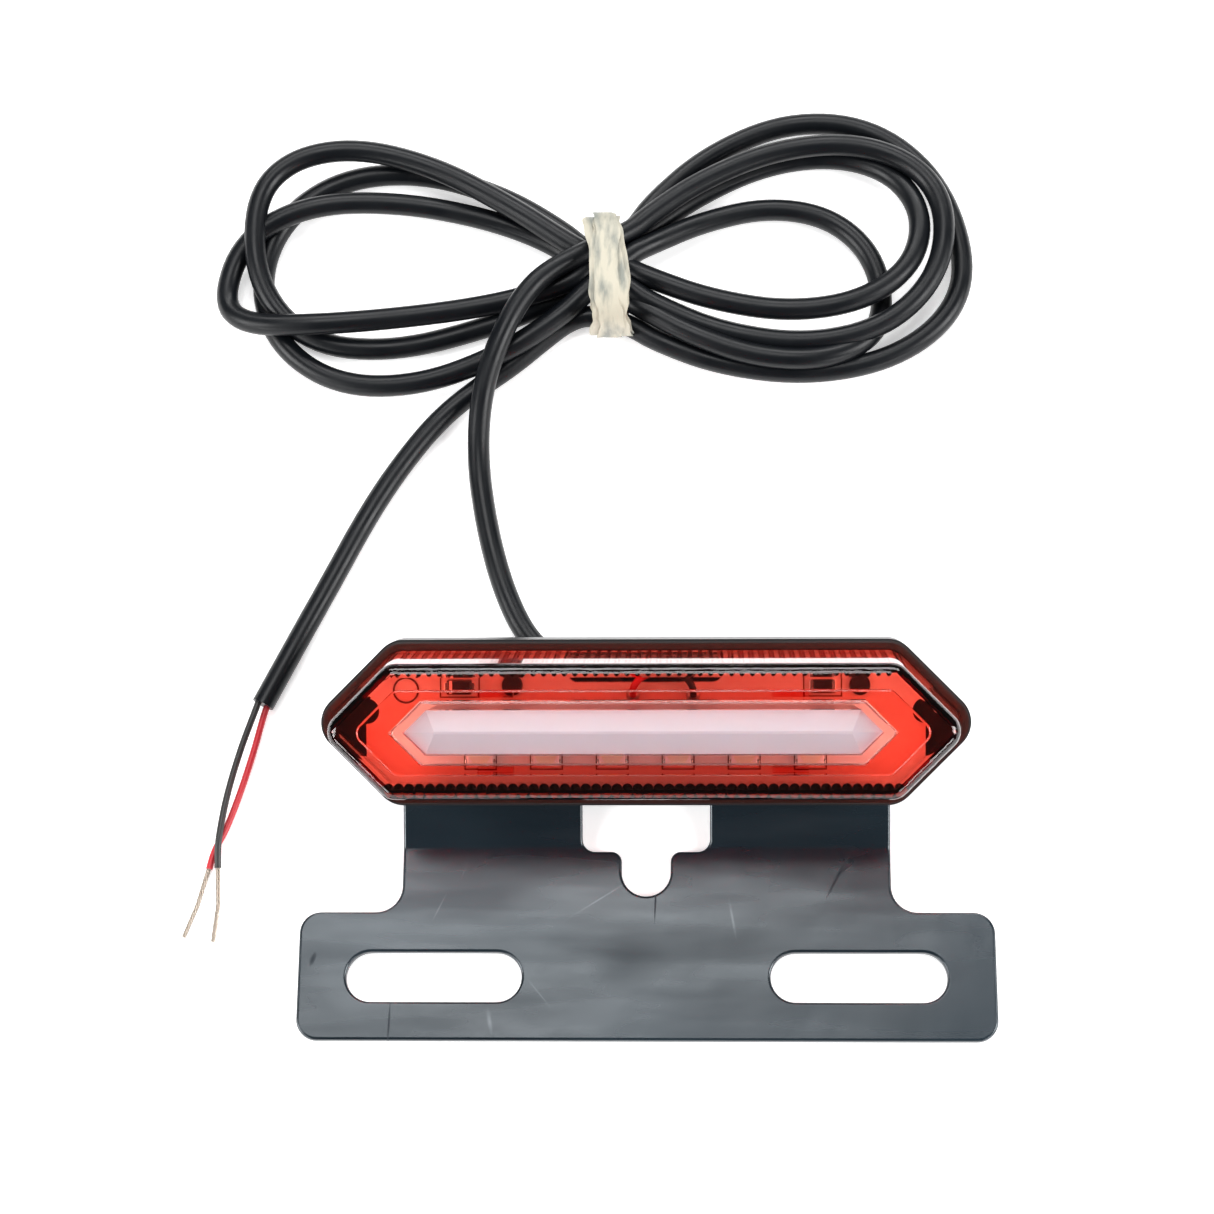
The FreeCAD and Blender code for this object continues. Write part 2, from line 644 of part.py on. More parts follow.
def make_board():
    body = body_named("circuit_board", ON_RIM)
    pad(body, hexagon(body, "board", "rim", "board_set_in", f"{BOARD_FACE} - board_thickness"),
        "board_thickness")
    ends = "rim_flat / 2 + rim_height / 2"
    for side, name in ((1, "right_end"), (-1, "left_end")):
        cut(body, rectangle(body, name, f"{ends} - board_length / 2", "rim_height",
                            f"{side} * ({ends} + board_length / 2) / 2", "0"))
    cut(body, circles(body, "end_notches", "2 * board_notch_radius",
                      [("board_length / 2", "board_notch_height"), ("-board_length / 2", "board_notch_height")]))
    cut(body, obrounds(body, "wire_slot", "board_recess_length", "board_recess_width",
                       [("0", "board_recess_level")]))
    cut(body, circles(body, "peg_holes", f"peg_diameter + {2 * FIT}",
                      [("left_peg_x", "peg_level"), ("right_peg_x", "peg_level")]))
    return body


def make_leds():
    body = body_named("leds", ON_RIM)
    row = "(led_count - 1) * led_pitch"
    first = pad(body, rectangle(body, "led", "led_side", "led_side", f"-({row}) / 2", "led_level", BOARD_FACE),
                "led_thickness")
    row_of(body, first, row, "led_count")
    return body


def make_resistors():
    body = body_named("resistors", ON_RIM)
    first = pad(body, rectangle(body, "chip", "chip_length", "chip_width", "chip_first_x", "chip_level",
                                BOARD_FACE), "chip_thickness")
    row_of(body, first, "2 * chip_spacing", "3")
    pad(body, rectangle(body, "end_chip", "chip_length", "chip_width", "end_chip_x", "diode_level",
                        BOARD_FACE), "chip_thickness")
    return body


def make_diode():
    body = body_named("diode", ON_RIM)
    pad(body, rectangle(body, "case", "diode_length", "diode_width", "diode_x", "diode_level", BOARD_FACE),
        "diode_thickness", taper="-6 deg")
    return body


def make_solder():
    body = body_named("solder_joints", ("red_joint_x", "joint_level", BOARD_FACE))
    dome = revolve(body, "dome", [
        ("0", "0"), ("solder_diameter / 2", "0"), ("solder_diameter * 0.36", "solder_rise * 0.6"),
        ("solder_diameter * 0.15", "solder_rise"), ("0", "solder_rise"),
    ])
    row_of(body, dome, "black_joint_x - red_joint_x", "2")
    return body


# ---------------------------------------------------------------- the two M5 fixings behind the lamp
def fixing(name, outward, outline, sweep=360):
    """A turned piece on both studs. Its outline is in (radius, distance behind the tabs' front) pairs."""
    body = body_named(name, ("-stud_spacing / 2", "0", "-housing_depth"))
    turned = revolve(body, outward, [(radius, f"-({behind})") for radius, behind in outline], sweep)
    return body, turned


BEHIND_WASHER = "sheet_thickness + washer_thickness"
BEHIND_SPRING = f"{BEHIND_WASHER} + spring_thickness"
BEHIND_NUT = f"{BEHIND_SPRING} + nut_thickness"


def ring(inner, outer, near, far):
    return [(inner, near), (outer, near), (outer, far), (inner, far)]


def make_fixings():
    tip = f"{BEHIND_NUT} + stud_past_nut"
    body, turned = fixing("mounting_studs", "stud", [
        ("0", "-housing_floor - stud_head_thickness"),
        ("stud_head_diameter / 2", "-housing_floor - stud_head_thickness"),
        ("stud_head_diameter / 2", "-housing_floor"),
        ("stud_diameter / 2", "-housing_floor"),
        ("stud_diameter / 2", f"{tip} - stud_end_chamfer"),
        ("stud_diameter / 2 - stud_end_chamfer", tip),
        ("0", tip),
    ])
    row_of(body, turned, "stud_spacing", "2")

    body, turned = fixing("flat_washers", "washer",
                          ring("stud_hole / 2", "washer_diameter / 2", "sheet_thickness", BEHIND_WASHER))
    row_of(body, turned, "stud_spacing", "2")

    split = 360 - math.degrees(size("spring_gap") / (size("spring_diameter") / 2))
    body, turned = fixing("spring_washers", "spring",
                          ring(f"stud_diameter / 2 + {FIT}", "spring_diameter / 2", BEHIND_WASHER, BEHIND_SPRING),
                          split)
    row_of(body, turned, "stud_spacing", "2")

    body = body_named("hex_nuts", ("-stud_spacing / 2", "0", "-housing_depth"))
    corners = [(f"nut_across_flats / sqrt(3) * {math.cos(math.radians(60 * n)):.6f}",
                f"nut_across_flats / sqrt(3) * {math.sin(math.radians(60 * n)):.6f}") for n in range(6)]
    flats = polygon(body, "flats", corners, f"-({BEHIND_NUT})")
    prism = pad(body, flats, "nut_thickness")
    bevel = body.newObject("PartDesign::Groove", "bevel")
    bevel.Profile = polygon(body, "bevel_outline", [
        ("nut_across_flats / 2", f"-({BEHIND_NUT})"),
        ("nut_across_flats", f"-({BEHIND_NUT})"),
        ("nut_across_flats", f"-({BEHIND_NUT}) + nut_across_flats / 2 * tan(30 deg)"),
    ], role="XZ_Plane")
    bevel.ReferenceAxis = (bevel.Profile[0], ["V_Axis"])
    doc.recompute()
    bore = cut(body, circles(body, "thread", "stud_diameter", [("0", "0")]))
    both = row_of(body, prism, "stud_spacing", "2")
    both.Originals = [prism, bevel, bore]
    doc.recompute()


def make_grommet():
    body = body_named("cable_grommet", ("grommet_x", "grommet_level", "-housing_depth"))
    neck = "cord_diameter / 2 + 0.6"
    revolve(body, "bush", [
        ("cord_diameter / 2", "-grommet_proud"), (neck, "-grommet_proud"),
        ("grommet_waist / 2", "-grommet_proud / 2"), ("grommet_flange / 2", "-grommet_proud / 2"),
        ("grommet_flange / 2", "0"), ("grommet_waist / 2", "0"),
        ("grommet_waist / 2", "housing_floor"), ("grommet_waist / 2 + grommet_lip / 2", "housing_floor"),
        ("grommet_waist / 2", "housing_floor + grommet_lip"), ("grommet_bore / 2", "housing_floor + grommet_lip"),
        ("grommet_bore / 2", "grommet_socket - grommet_proud"),
        ("cord_diameter / 2", "grommet_socket - grommet_proud"),
    ])
    return body


# ---------------------------------------------------------------- cable, cores and inner wires
def bent_path(points):
    """Straight runs joined by tangent arcs, each arc as large as its two runs allow, and the radii."""
    edges, radii = [], []
    start = points[0]
    for before, corner, after in zip(points, points[1:], points[2:]):
        toward, away = (corner - before), (after - corner)
        turn = toward.getAngle(away)
        reach = 0.45 * min(toward.Length, away.Length)
        arrive = corner - toward.normalize() * reach
        leave = corner + away.normalize() * reach
        radius = reach / math.tan(turn / 2)
        middle = (arrive + leave) / 2
        inward = (middle - corner).normalize()
        on_arc = corner + inward * (radius / math.cos(turn / 2) - radius)
        edges.append(Part.LineSegment(start, arrive).toShape())
        edges.append(Part.Arc(arrive, on_arc, leave).toShape())
        radii.append(radius)
        start = leave
    edges.append(Part.LineSegment(start, points[-1]).toShape())
    return Part.Wire(edges), radii


def tube(name, points, diameter):
    """A round cable or wire along a path. Its volume is compared with its section times its length."""
    points = [Vector(*p) for p in points]
    path, radii = bent_path(points)
    section = Part.Wire(Part.makeCircle(diameter / 2, points[0], points[1] - points[0]))
    shape = path.makePipeShell([section], True, True)
    expected = math.pi * diameter ** 2 / 4 * path.Length
    print(f"{name}: {path.Length:.1f} long, radii " + ", ".join(f"{r:.1f}" for r in radii),
          f"volume {shape.Volume:.1f} of {expected:.1f}")
    piece = doc.addObject("Part::Feature", name)
    piece.Label = name
    piece.Shape = shape
    piece.Placement = Placement()
    return piece


# The cable's route on the bench: out of the grommet, round under the lamp and up onto the hank.
CORD_START = lamp_point(size("grommet_x"), size("grommet_level"),
                        size("grommet_socket") - size("grommet_proud") - size("housing_depth"))
LEAD = [
    CORD_START, (-3.0, 52.4, 8.1), (-4.8, 53.8, 5.0), (-9.0, 54.9, 3.0), (-15.6, 55.8, 2.2), (-21.2, 60.0, 2.0),
    (-25.8, 69.8, 2.0), (-29.0, 82.0, 2.0), (-30.8, 94.6, 2.8), (-29.9, 105.8, 6.6), (-28.4, 112.0, 6.9),
]
TAIL = [
    (-27.0, 110.8, 2.0), (-32.0, 107.2, 2.0), (-38.4, 101.4, 2.0), (-44.8, 92.8, 2.0), (-50.4, 83.4, 2.0),
    (-56.4, 71.0, 2.0), (-62.6, 58.6, 2.0), (-67.7, 48.1, 2.0),
]
# The stripped cores, from the end of the sheath to the end of their insulation, and their bare ends.
BLACK_CORE = [(-68.6, 47.9, 2.4), (-71.2, 40.4, 1.6), (-73.4, 31.7, 1.3), (-74.3, 22.2, 1.5)]
BLACK_END = [(-74.3, 22.2, 1.5), (-74.2, 16.8, 0.9), (-74.0, 12.6, 0.6), (-74.6, 6.2, 0.5)]
RED_CORE = [(-67.4, 47.4, 1.6), (-69.0, 40.2, 0.7), (-71.2, 32.2, 0.6), (-73.4, 25.6, 0.6), (-75.6, 21.6, 0.6)]
RED_END = [(-75.6, 21.6, 0.6), (-76.4, 17.4, 0.5), (-77.6, 12.6, 0.5), (-79.7, 7.0, 0.5)]


def make_cable():
    cord, core, copper = size("cord_diameter"), size("core_diameter"), size("conductor_diameter")
    lead = tube("cord_lead", LEAD, cord)
    tail = tube("cord_tail", TAIL, cord)
    tube("core_wire_black", BLACK_CORE, core)
    tube("core_wire_red", RED_CORE, core)
    tube("tinned_end_black", BLACK_END, copper)
    tube("tinned_end_red", RED_END, copper)
    return lead, tail


def make_inner_wires():
    """The two cores inside the lamp: up through the grommet and the board's slot, and down to their joints."""
    x, level = size("grommet_x"), size("grommet_level")
    start = size("grommet_socket") - size("grommet_proud") - size("housing_depth")
    half_gap = size("core_diameter") / 2 + FIT / 2
    joint, face = size("joint_level"), -size("board_seat") + size("solder_rise")
    red, black = size("red_joint_x"), size("black_joint_x")
    slot = size("board_recess_level")
    routes = {
        "inner_wire_red": [(x + half_gap, level, start), (x + half_gap, level, start + 2.4), (0.4, slot, -3.4),
                           (1.2, slot, -1.0), (-0.8, slot - 0.8, 0.2), (red, joint + 1.4, 0.2), (red, joint, face)],
        "inner_wire_black": [(x - half_gap, level, start), (x - half_gap, level, start + 3.4),
                             (x + 0.6, slot + 0.2, -2.6), (2.4, slot, -1.0), (black - 1.4, slot - 0.4, 0.2),
                             (black, joint + 1.4, 0.2), (black, joint, face)],
    }
    for name, route in routes.items():
        tube(name, [lamp_point(*p) for p in route], size("core_diameter"))


# ---------------------------------------------------------------- the tied hank
# The outer shape of the two bundles of loops, seen from above, either side of the tie.
TIE_MIDDLE = Vector(-7.2, 129.8, 0)
TIE_SPAN = 23.0          # across the bundle, inside the tie
TIE_RISE = 10.4          # the bundle's height inside the tie
LEFT_LOOPS = [(-11.2, 120.5), (-20.0, 115.0), (-32.5, 107.6), (-47.5, 105.0), (-61.0, 108.4), (-75.6, 121.0),
              (-80.6, 128.6), (-79.5, 134.0), (-70.5, 150.6), (-56.5, 156.9), (-45.0, 155.0), (-22.6, 144.6),
              (-11.2, 138.8)]
RIGHT_LOOPS = [(-3.2, 140.8), (4.0, 152.0), (14.0, 159.2), (30.5, 163.0), (42.0, 161.2), (49.0, 157.6),
               (58.4, 145.0), (60.4, 133.6), (57.6, 122.6), (49.0, 113.6), (35.5, 108.2), (27.0, 107.4),
               (4.0, 114.8), (-3.2, 118.6)]


def loops(outline):
    """A flat slab the shape of one bundle, from the bench up to the top of its turns."""
    corners = [Vector(x, y, 0) for x, y in outline]
    face = Part.Face(Part.makePolygon(corners + corners[:1]))
    return face.extrude(Vector(0, 0, size("hank_height")))


def make_hank(lead, tail):
    wrap = size("tie_thickness")
    width = size("tie_width")
    corner = TIE_MIDDLE - Vector(width / 2, TIE_SPAN / 2, -wrap)
    waist = Part.makeBox(width, TIE_SPAN, TIE_RISE, corner)
    along = [edge for edge in waist.Edges if edge.BoundBox.XLength > width / 2]
    waist = waist.makeFillet(TIE_SPAN / 8, along)
    hank = waist.fuse([loops(LEFT_LOOPS), loops(RIGHT_LOOPS)])
    hank = hank.cut([lead.Shape, tail.Shape]).removeSplitter()
    coil = doc.addObject("Part::Feature", "cord_coil")
    coil.Label = "cord_coil"
    coil.Shape = hank.Solids[0]
    coil.Placement = Placement()

    outside = Part.makeBox(width, TIE_SPAN + 2 * wrap, TIE_RISE + 2 * wrap, corner - Vector(0, wrap, wrap))
    along = [edge for edge in outside.Edges if edge.BoundBox.XLength > width / 2]
    tie = doc.addObject("Part::Feature", "coil_tie")
    tie.Label = "coil_tie"
    tie.Shape = outside.makeFillet(TIE_SPAN / 8 + wrap, along).cut(waist)
    tie.Placement = Placement()
    return coil


# ---------------------------------------------------------------- build, check and write
make_bracket()
make_housing()
make_seal()
make_lens()
make_window()
make_diffuser()
make_board()
make_leds()
make_resistors()
make_diode()
make_solder()
make_fixings()
make_grommet()
make_inner_wires()
make_hank(*make_cable())
doc.recompute()

failed = [o.Name for o in doc.Objects if "Invalid" in o.State or "Error" in o.State]
if failed:
    raise RuntimeError(f"these did not build: {failed}")
pieces = [o for o in doc.Objects if o.TypeId in ("PartDesign::Body", "Part::Feature") and o.getParent() is None]
for piece in pieces:
    if piece.Shape.isNull() or not piece.Shape.isValid() or piece.Shape.Volume < 1e-3:
        raise RuntimeError(f"{piece.Label} is not a sound solid")

os.makedirs("parts", exist_ok=True)
for piece in pieces:
    piece.Shape.exportStep(f"parts/{piece.Label}.step")
    print(f"{piece.Label}: {len(piece.Shape.Solids)} solid, {piece.Shape.Volume:.1f} cubic mm")
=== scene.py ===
# %% [markdown]
# # A bar-shaped tail light and its cable
# This file dresses a tail light: a red lens with a clear window in the middle, a bent black bracket,
# and a cable that is folded into a hank and taped. The solid parts come ready made as a fixed frame.
# Here they get their finishes, and the soft and small things that a drawing of solids leaves out are
# added: the cable, the tape, the twisted wire ends, the print on the circuit board.
# Lengths are written in millimetres and multiplied by MM, because Blender counts in metres.

import math
import random

import bpy
from mathutils import Matrix, Vector


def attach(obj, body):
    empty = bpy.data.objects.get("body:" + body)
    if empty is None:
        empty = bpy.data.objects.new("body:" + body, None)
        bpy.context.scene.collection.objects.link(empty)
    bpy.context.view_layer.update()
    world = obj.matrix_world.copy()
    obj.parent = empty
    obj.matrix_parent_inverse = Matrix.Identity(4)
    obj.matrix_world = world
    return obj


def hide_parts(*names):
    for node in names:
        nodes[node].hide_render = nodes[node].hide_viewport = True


MM = 0.001
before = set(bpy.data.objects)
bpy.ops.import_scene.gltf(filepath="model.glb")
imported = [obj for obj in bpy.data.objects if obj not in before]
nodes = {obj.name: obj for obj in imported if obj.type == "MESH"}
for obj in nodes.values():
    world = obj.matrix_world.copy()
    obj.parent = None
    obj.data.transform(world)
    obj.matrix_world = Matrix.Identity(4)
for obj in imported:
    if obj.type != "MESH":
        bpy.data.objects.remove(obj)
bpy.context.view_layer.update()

# %% [markdown]
# ## Camera, floor and light
# A product picture of a small lamp is taken from high up, with a long lens, so that the bar keeps
# straight edges. The floor is plain and pale. Six soft boxes and a faint sky give the gloss on the
# lens and the bracket wide, soft edges: a shiny thing mostly shows what is around it. The table
# glows a little, as a light table does, so shadows stay pale.

# %% Camera
CAMERA_PLACE = Vector((8.7, -76.0, 451.4)) * MM
CAMERA_LENS = 78.73
CAMERA_TURN = [math.radians(angle) for angle in (17.54, 1.88, 0.42)]
bpy.ops.object.camera_add(location=CAMERA_PLACE, rotation=CAMERA_TURN)
camera = bpy.context.object
camera.name = "camera"
camera.data.sensor_width = 36
camera.data.lens = CAMERA_LENS
camera.data.clip_start = 0.01
camera.data.clip_end = 20
bpy.context.scene.camera = camera
print("camera", round(camera.data.lens, 1), "mm lens,", round(CAMERA_PLACE.length / MM), "mm away")

# %% Floor, sky and soft boxes
FLOOR_SIZE = 0.64


def soft_box(name, place, aim, width, height, power):
    """A rectangular lamp at place, facing aim."""
    bpy.ops.object.light_add(type="AREA", location=place)
    lamp = bpy.context.object
    lamp.name = name
    lamp.data.shape = "RECTANGLE"
    lamp.data.size = width
    lamp.data.size_y = height
    lamp.data.energy = power
    lamp.rotation_euler = (Vector(aim) - Vector(place)).to_track_quat("-Z", "Y").to_euler()
    return lamp


bpy.ops.object.select_all(action="DESELECT")
bpy.ops.mesh.primitive_plane_add(size=FLOOR_SIZE)
floor = bpy.context.object
floor.name = "floor"
paper = bpy.data.materials.new("white paper")
paper.use_nodes = True
paper.node_tree.nodes["Principled BSDF"].inputs["Base Color"].default_value = (0.96, 0.96, 0.96, 1)
paper.node_tree.nodes["Principled BSDF"].inputs["Roughness"].default_value = 0.9
paper.node_tree.nodes["Principled BSDF"].inputs["Specular IOR Level"].default_value = 0.1
paper.node_tree.nodes["Principled BSDF"].inputs["Emission Color"].default_value = (1, 1, 1, 1)
paper.node_tree.nodes["Principled BSDF"].inputs["Emission Strength"].default_value = 0.5
floor.data.materials.append(paper)

sky = bpy.data.worlds.new("white sky")
bpy.context.scene.world = sky
sky.use_nodes = True
sky.node_tree.nodes["Background"].inputs["Color"].default_value = (1, 1, 1, 1)
sky.node_tree.nodes["Background"].inputs["Strength"].default_value = 0.07
AIM = (0, 0.05, 0.01)
soft_box("overhead soft box", (-0.10, 0.34, 1.0), (-0.03, 0.05, 0), 0.50, 0.45, 4.6)
soft_box("back soft box", (0.05, 0.95, 0.7), AIM, 1.3, 0.35, 11.0)
soft_box("left soft box", (-0.85, -0.2, 0.5), AIM, 0.45, 0.6, 9.0)
soft_box("right soft box", (0.85, -0.1, 0.5), AIM, 0.4, 0.6, 9.0)
soft_box("low left soft box", (-0.62, -0.62, 0.22), AIM, 0.4, 0.22, 2.2)
soft_box("low right soft box", (0.62, -0.62, 0.22), AIM, 0.4, 0.22, 2.2)
bpy.context.scene.view_settings.view_transform = "Standard"

# %% [markdown]
# ## The cable
# The cable is the usual two-core flex of small vehicle lamps, 4 mm over its black sheath. It leaves
# the back of the lamp, lies down on the bench and runs up to a hank: seven flat loops, four to the
# right and three to the left of a band of tape, laid over each other as a figure of eight.
# A curve is the natural tool: its points are where a hand would pin the cable down, and the round
# section is added by the curve itself. A NURBS curve of order three passes midway between its points,
# so it bends softly everywhere. The cable's radius is set on the points, and the bevel multiplies it
# by one, because Blender adds a point's radius to the curve's bounding box. Each loop comes from one
# formula with its own reach, tilt and width.

# %% A round cable along points
CABLE = 4.0 * MM
CORE = 1.2 * MM
COPPER = 0.9 * MM


def flex(name, points, thickness):
    """A cable, wire or strand of that thickness on a soft curve through the points, in millimetres."""
    curve = bpy.data.curves.new(name, "CURVE")
    curve.dimensions = "3D"
    line = curve.splines.new("NURBS")
    line.points.add(len(points) - 1)
    for spot, place in zip(line.points, points):
        spot.co = (*(Vector(place) * MM), 1.0)
        spot.radius = thickness / 2
    line.order_u = 3
    line.use_endpoint_u = True
    curve.resolution_u = 8
    curve.bevel_depth = 1.0
    curve.bevel_resolution = 4
    curve.use_fill_caps = True
    piece = bpy.data.objects.new(name, curve)
    bpy.context.scene.collection.objects.link(piece)
    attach(piece, "root")
    return piece


# %% The loops of the hank
LOOP_STEPS = 12
TIE_LEFT = -11.5
TIE_RIGHT = -3.0


def loop(side, reach, tilt, up, down, fullness, leave, arrive, heights, blunt=0):
    """One flat loop of the hank, out from the tape at y = leave and back to it at y = arrive.
    side is 1 to the right and -1 to the left, reach its length, up and down its half widths,
    and heights are the cable's heights above the bench at even steps round it. blunt widens the tip."""
    edge = TIE_RIGHT if side > 0 else TIE_LEFT
    lean = math.radians(tilt)
    points = []
    for step in range(LOOP_STEPS + 1):
        part = step / LOOP_STEPS
        turn = 2 * math.pi * part
        along = reach * (1 - math.cos(turn)) / 2
        swell = math.sin(turn) * abs(math.sin(turn / 2)) ** fullness
        rise = swell * (up if part < 0.5 else down)
        rise += blunt * math.sin(turn) * math.sin(turn / 2) ** 8
        x = edge + side * (along * math.cos(lean) - rise * math.sin(lean))
        y = leave + (arrive - leave) * part + along * math.sin(lean) + rise * math.cos(lean)
        place = part * (len(heights) - 1)
        before = min(int(place), len(heights) - 2)
        z = heights[before] + (heights[before + 1] - heights[before]) * (place - before)
        points.append((x, y, z))
    return points


LEAD = [
    (-3.0, 50.7, 13.2), (-3.0, 52.4, 8.1), (-4.8, 53.8, 5.0), (-9.0, 54.9, 3.0), (-15.6, 55.8, 2.2),
    (-21.2, 60.0, 2.0), (-25.8, 69.8, 2.0), (-29.0, 82.0, 2.0), (-30.8, 94.6, 2.8), (-29.9, 105.8, 6.6),
    (-26.6, 115.2, 9.0), (-22.6, 123.2, 9.4), (-17.2, 129.0, 9.0),
]
LOOPS = [
    loop(1, 58.9, 9.3, 18.7, 23.8, 0.71, 137.4, 125.6, (5.8, 6.2, 6.2, 6.4, 5.0, 4.6, 5.8)),
    loop(-1, 63.1, 12.4, 19.3, 31.4, 1.22, 133.2, 126.9, (5.9, 6.2, 6.2, 6.8, 2.2, 2.0, 2.6)),
    loop(1, 54.3, 7.8, 19.5, 19.5, 0.84, 136.3, 129.6, (2.6, 2.0, 2.0, 5.4, 7.2, 6.6, 5.8)),
    loop(-1, 60.8, -0.8, 24.8, 24.4, 0.68, 135.0, 125.1, (2.6, 2.0, 2.0, 2.0, 2.0, 4.8, 5.9)),
    loop(1, 46.9, -7.3, 21.3, 13.8, 0.80, 133.0, 123.8, (5.8, 3.0, 2.0, 2.0, 5.0, 5.4, 4.6)),
    loop(-1, 67.5, -3.9, 18.3, 7.5, 0.35, 130.9, 129.1, (2.6, 2.0, 5.6, 2.6, 7.2, 5.0, 5.9), blunt=6),
    loop(1, 62.0, 2.8, 31.9, 19.3, 0.55, 138.6, 119.9, (2.6, 2.0, 2.0, 2.0, 2.0, 2.0, 2.6)),
]
TAIL = [
    (-9.5, 122.2, 2.5), (-14.2, 121.4, 2.3), (-19.4, 117.2, 2.1), (-24.8, 112.4, 2.0), (-32.0, 107.2, 2.0),
    (-38.4, 101.4, 2.0), (-44.8, 92.8, 2.0), (-50.4, 83.4, 2.0), (-56.4, 71.0, 2.0), (-62.6, 58.6, 2.0),
    (-67.7, 48.1, 2.0),
]
cable = flex("cable_sheath", LEAD + [point for one in LOOPS for point in one] + TAIL, CABLE)
print("cable on", len(cable.data.splines[0].points), "points")

# %% The bare ends of the cable's two cores
BLACK_CORE = [
    (-68.3, 48.9, 2.5), (-68.9, 46.9, 2.5), (-71.2, 40.4, 1.9), (-73.4, 31.7, 1.6),
    (-74.3, 24.4, 1.9), (-74.4, 22.0, 1.6), (-74.3, 19.0, 1.2),
]
BLACK_END = [(-74.3, 19.6, 1.3), (-74.2, 16.8, 0.9), (-74.0, 12.6, 0.6), (-74.6, 6.2, 0.5)]
RED_CORE = [
    (-66.9, 48.4, 1.5), (-67.5, 46.6, 1.4), (-69.0, 40.2, 0.8), (-71.2, 32.2, 0.6),
    (-73.4, 25.6, 0.6), (-75.4, 21.9, 0.6), (-75.9, 18.9, 0.6),
]
RED_END = [(-75.8, 19.5, 0.6), (-76.4, 17.4, 0.5), (-77.6, 12.6, 0.5), (-79.7, 7.0, 0.5)]
black_core = flex("black_core_insulation", BLACK_CORE, CORE)
red_core = flex("red_core_insulation", RED_CORE, CORE)
print("two cores stripped over", round(BLACK_CORE[0][1] - BLACK_END[-1][1]), "mm")

# %% [markdown]
# ## Finishes
# Every surface gets its own node material, with nothing painted from a picture. Small helpers do
# the work: they make a plain surface, add fine relief, let the gloss or the colour wander as they do
# on used plastic, and draw single scratches and marks.
# All patterns read Object coordinates, so they stay on the piece when the camera moves.

# %% Helpers for finishes


def finish(name, colour, roughness, metallic=0.0, **more):
    """A plain surface. more holds other inputs of the shader, with _ for a space."""
    material = bpy.data.materials.new(name)
    material.use_nodes = True
    shader = material.node_tree.nodes["Principled BSDF"]
    shader.inputs["Base Color"].default_value = (*colour, 1)
    shader.inputs["Roughness"].default_value = roughness
    shader.inputs["Metallic"].default_value = metallic
    for socket, value in more.items():
        shader.inputs[socket.replace("_", " ")].default_value = value
    return material


def noise(material, size, detail=3.0, stretch=(1, 1, 1)):
    """A cloudy pattern whose blotches are about size metres across, as a node."""
    tree = material.node_tree
    place = tree.nodes.new("ShaderNodeTexCoord")
    scale = tree.nodes.new("ShaderNodeMapping")
    scale.inputs["Scale"].default_value = stretch
    cloud = tree.nodes.new("ShaderNodeTexNoise")
    cloud.inputs["Scale"].default_value = 1 / size
    cloud.inputs["Detail"].default_value = detail
    tree.links.new(place.outputs["Object"], scale.inputs["Vector"])
    tree.links.new(scale.outputs["Vector"], cloud.inputs["Vector"])
    return cloud


def relief(material, size, height, detail=3.0, stretch=(1, 1, 1)):
    """Fine bumps of that size and height, in metres."""
    tree = material.node_tree
    bump = tree.nodes.new("ShaderNodeBump")
    bump.inputs["Strength"].default_value = 1.0
    bump.inputs["Distance"].default_value = height
    shader = tree.nodes["Principled BSDF"]
    before = shader.inputs["Normal"].links
    if before:
        tree.links.new(before[0].from_socket, bump.inputs["Normal"])
    tree.links.new(noise(material, size, detail, stretch).outputs["Fac"], bump.inputs["Height"])
    tree.links.new(bump.outputs["Normal"], shader.inputs["Normal"])


def vary(material, socket, size, low, high, detail=3.0, stretch=(1, 1, 1)):
    """Lets a number of the shader wander between low and high over the surface."""
    tree = material.node_tree
    spread = tree.nodes.new("ShaderNodeMapRange")
    spread.inputs["From Min"].default_value = 0.3
    spread.inputs["From Max"].default_value = 0.7
    spread.inputs["To Min"].default_value = low
    spread.inputs["To Max"].default_value = high
    tree.links.new(noise(material, size, detail, stretch).outputs["Fac"], spread.inputs["Value"])
    tree.links.new(spread.outputs["Result"], tree.nodes["Principled BSDF"].inputs[socket])


def tint(material, size, dark, pale, low=0.35, high=0.65, detail=3.0, stretch=(1, 1, 1)):
    """Lets the colour wander between two colours."""
    tree = material.node_tree
    ramp = tree.nodes.new("ShaderNodeValToRGB")
    ramp.color_ramp.elements[0].position = low
    ramp.color_ramp.elements[0].color = (*dark, 1)
    ramp.color_ramp.elements[1].position = high
    ramp.color_ramp.elements[1].color = (*pale, 1)
    tree.links.new(noise(material, size, detail, stretch).outputs["Fac"], ramp.inputs["Fac"])
    tree.links.new(ramp.outputs["Color"], tree.nodes["Principled BSDF"].inputs["Base Color"])


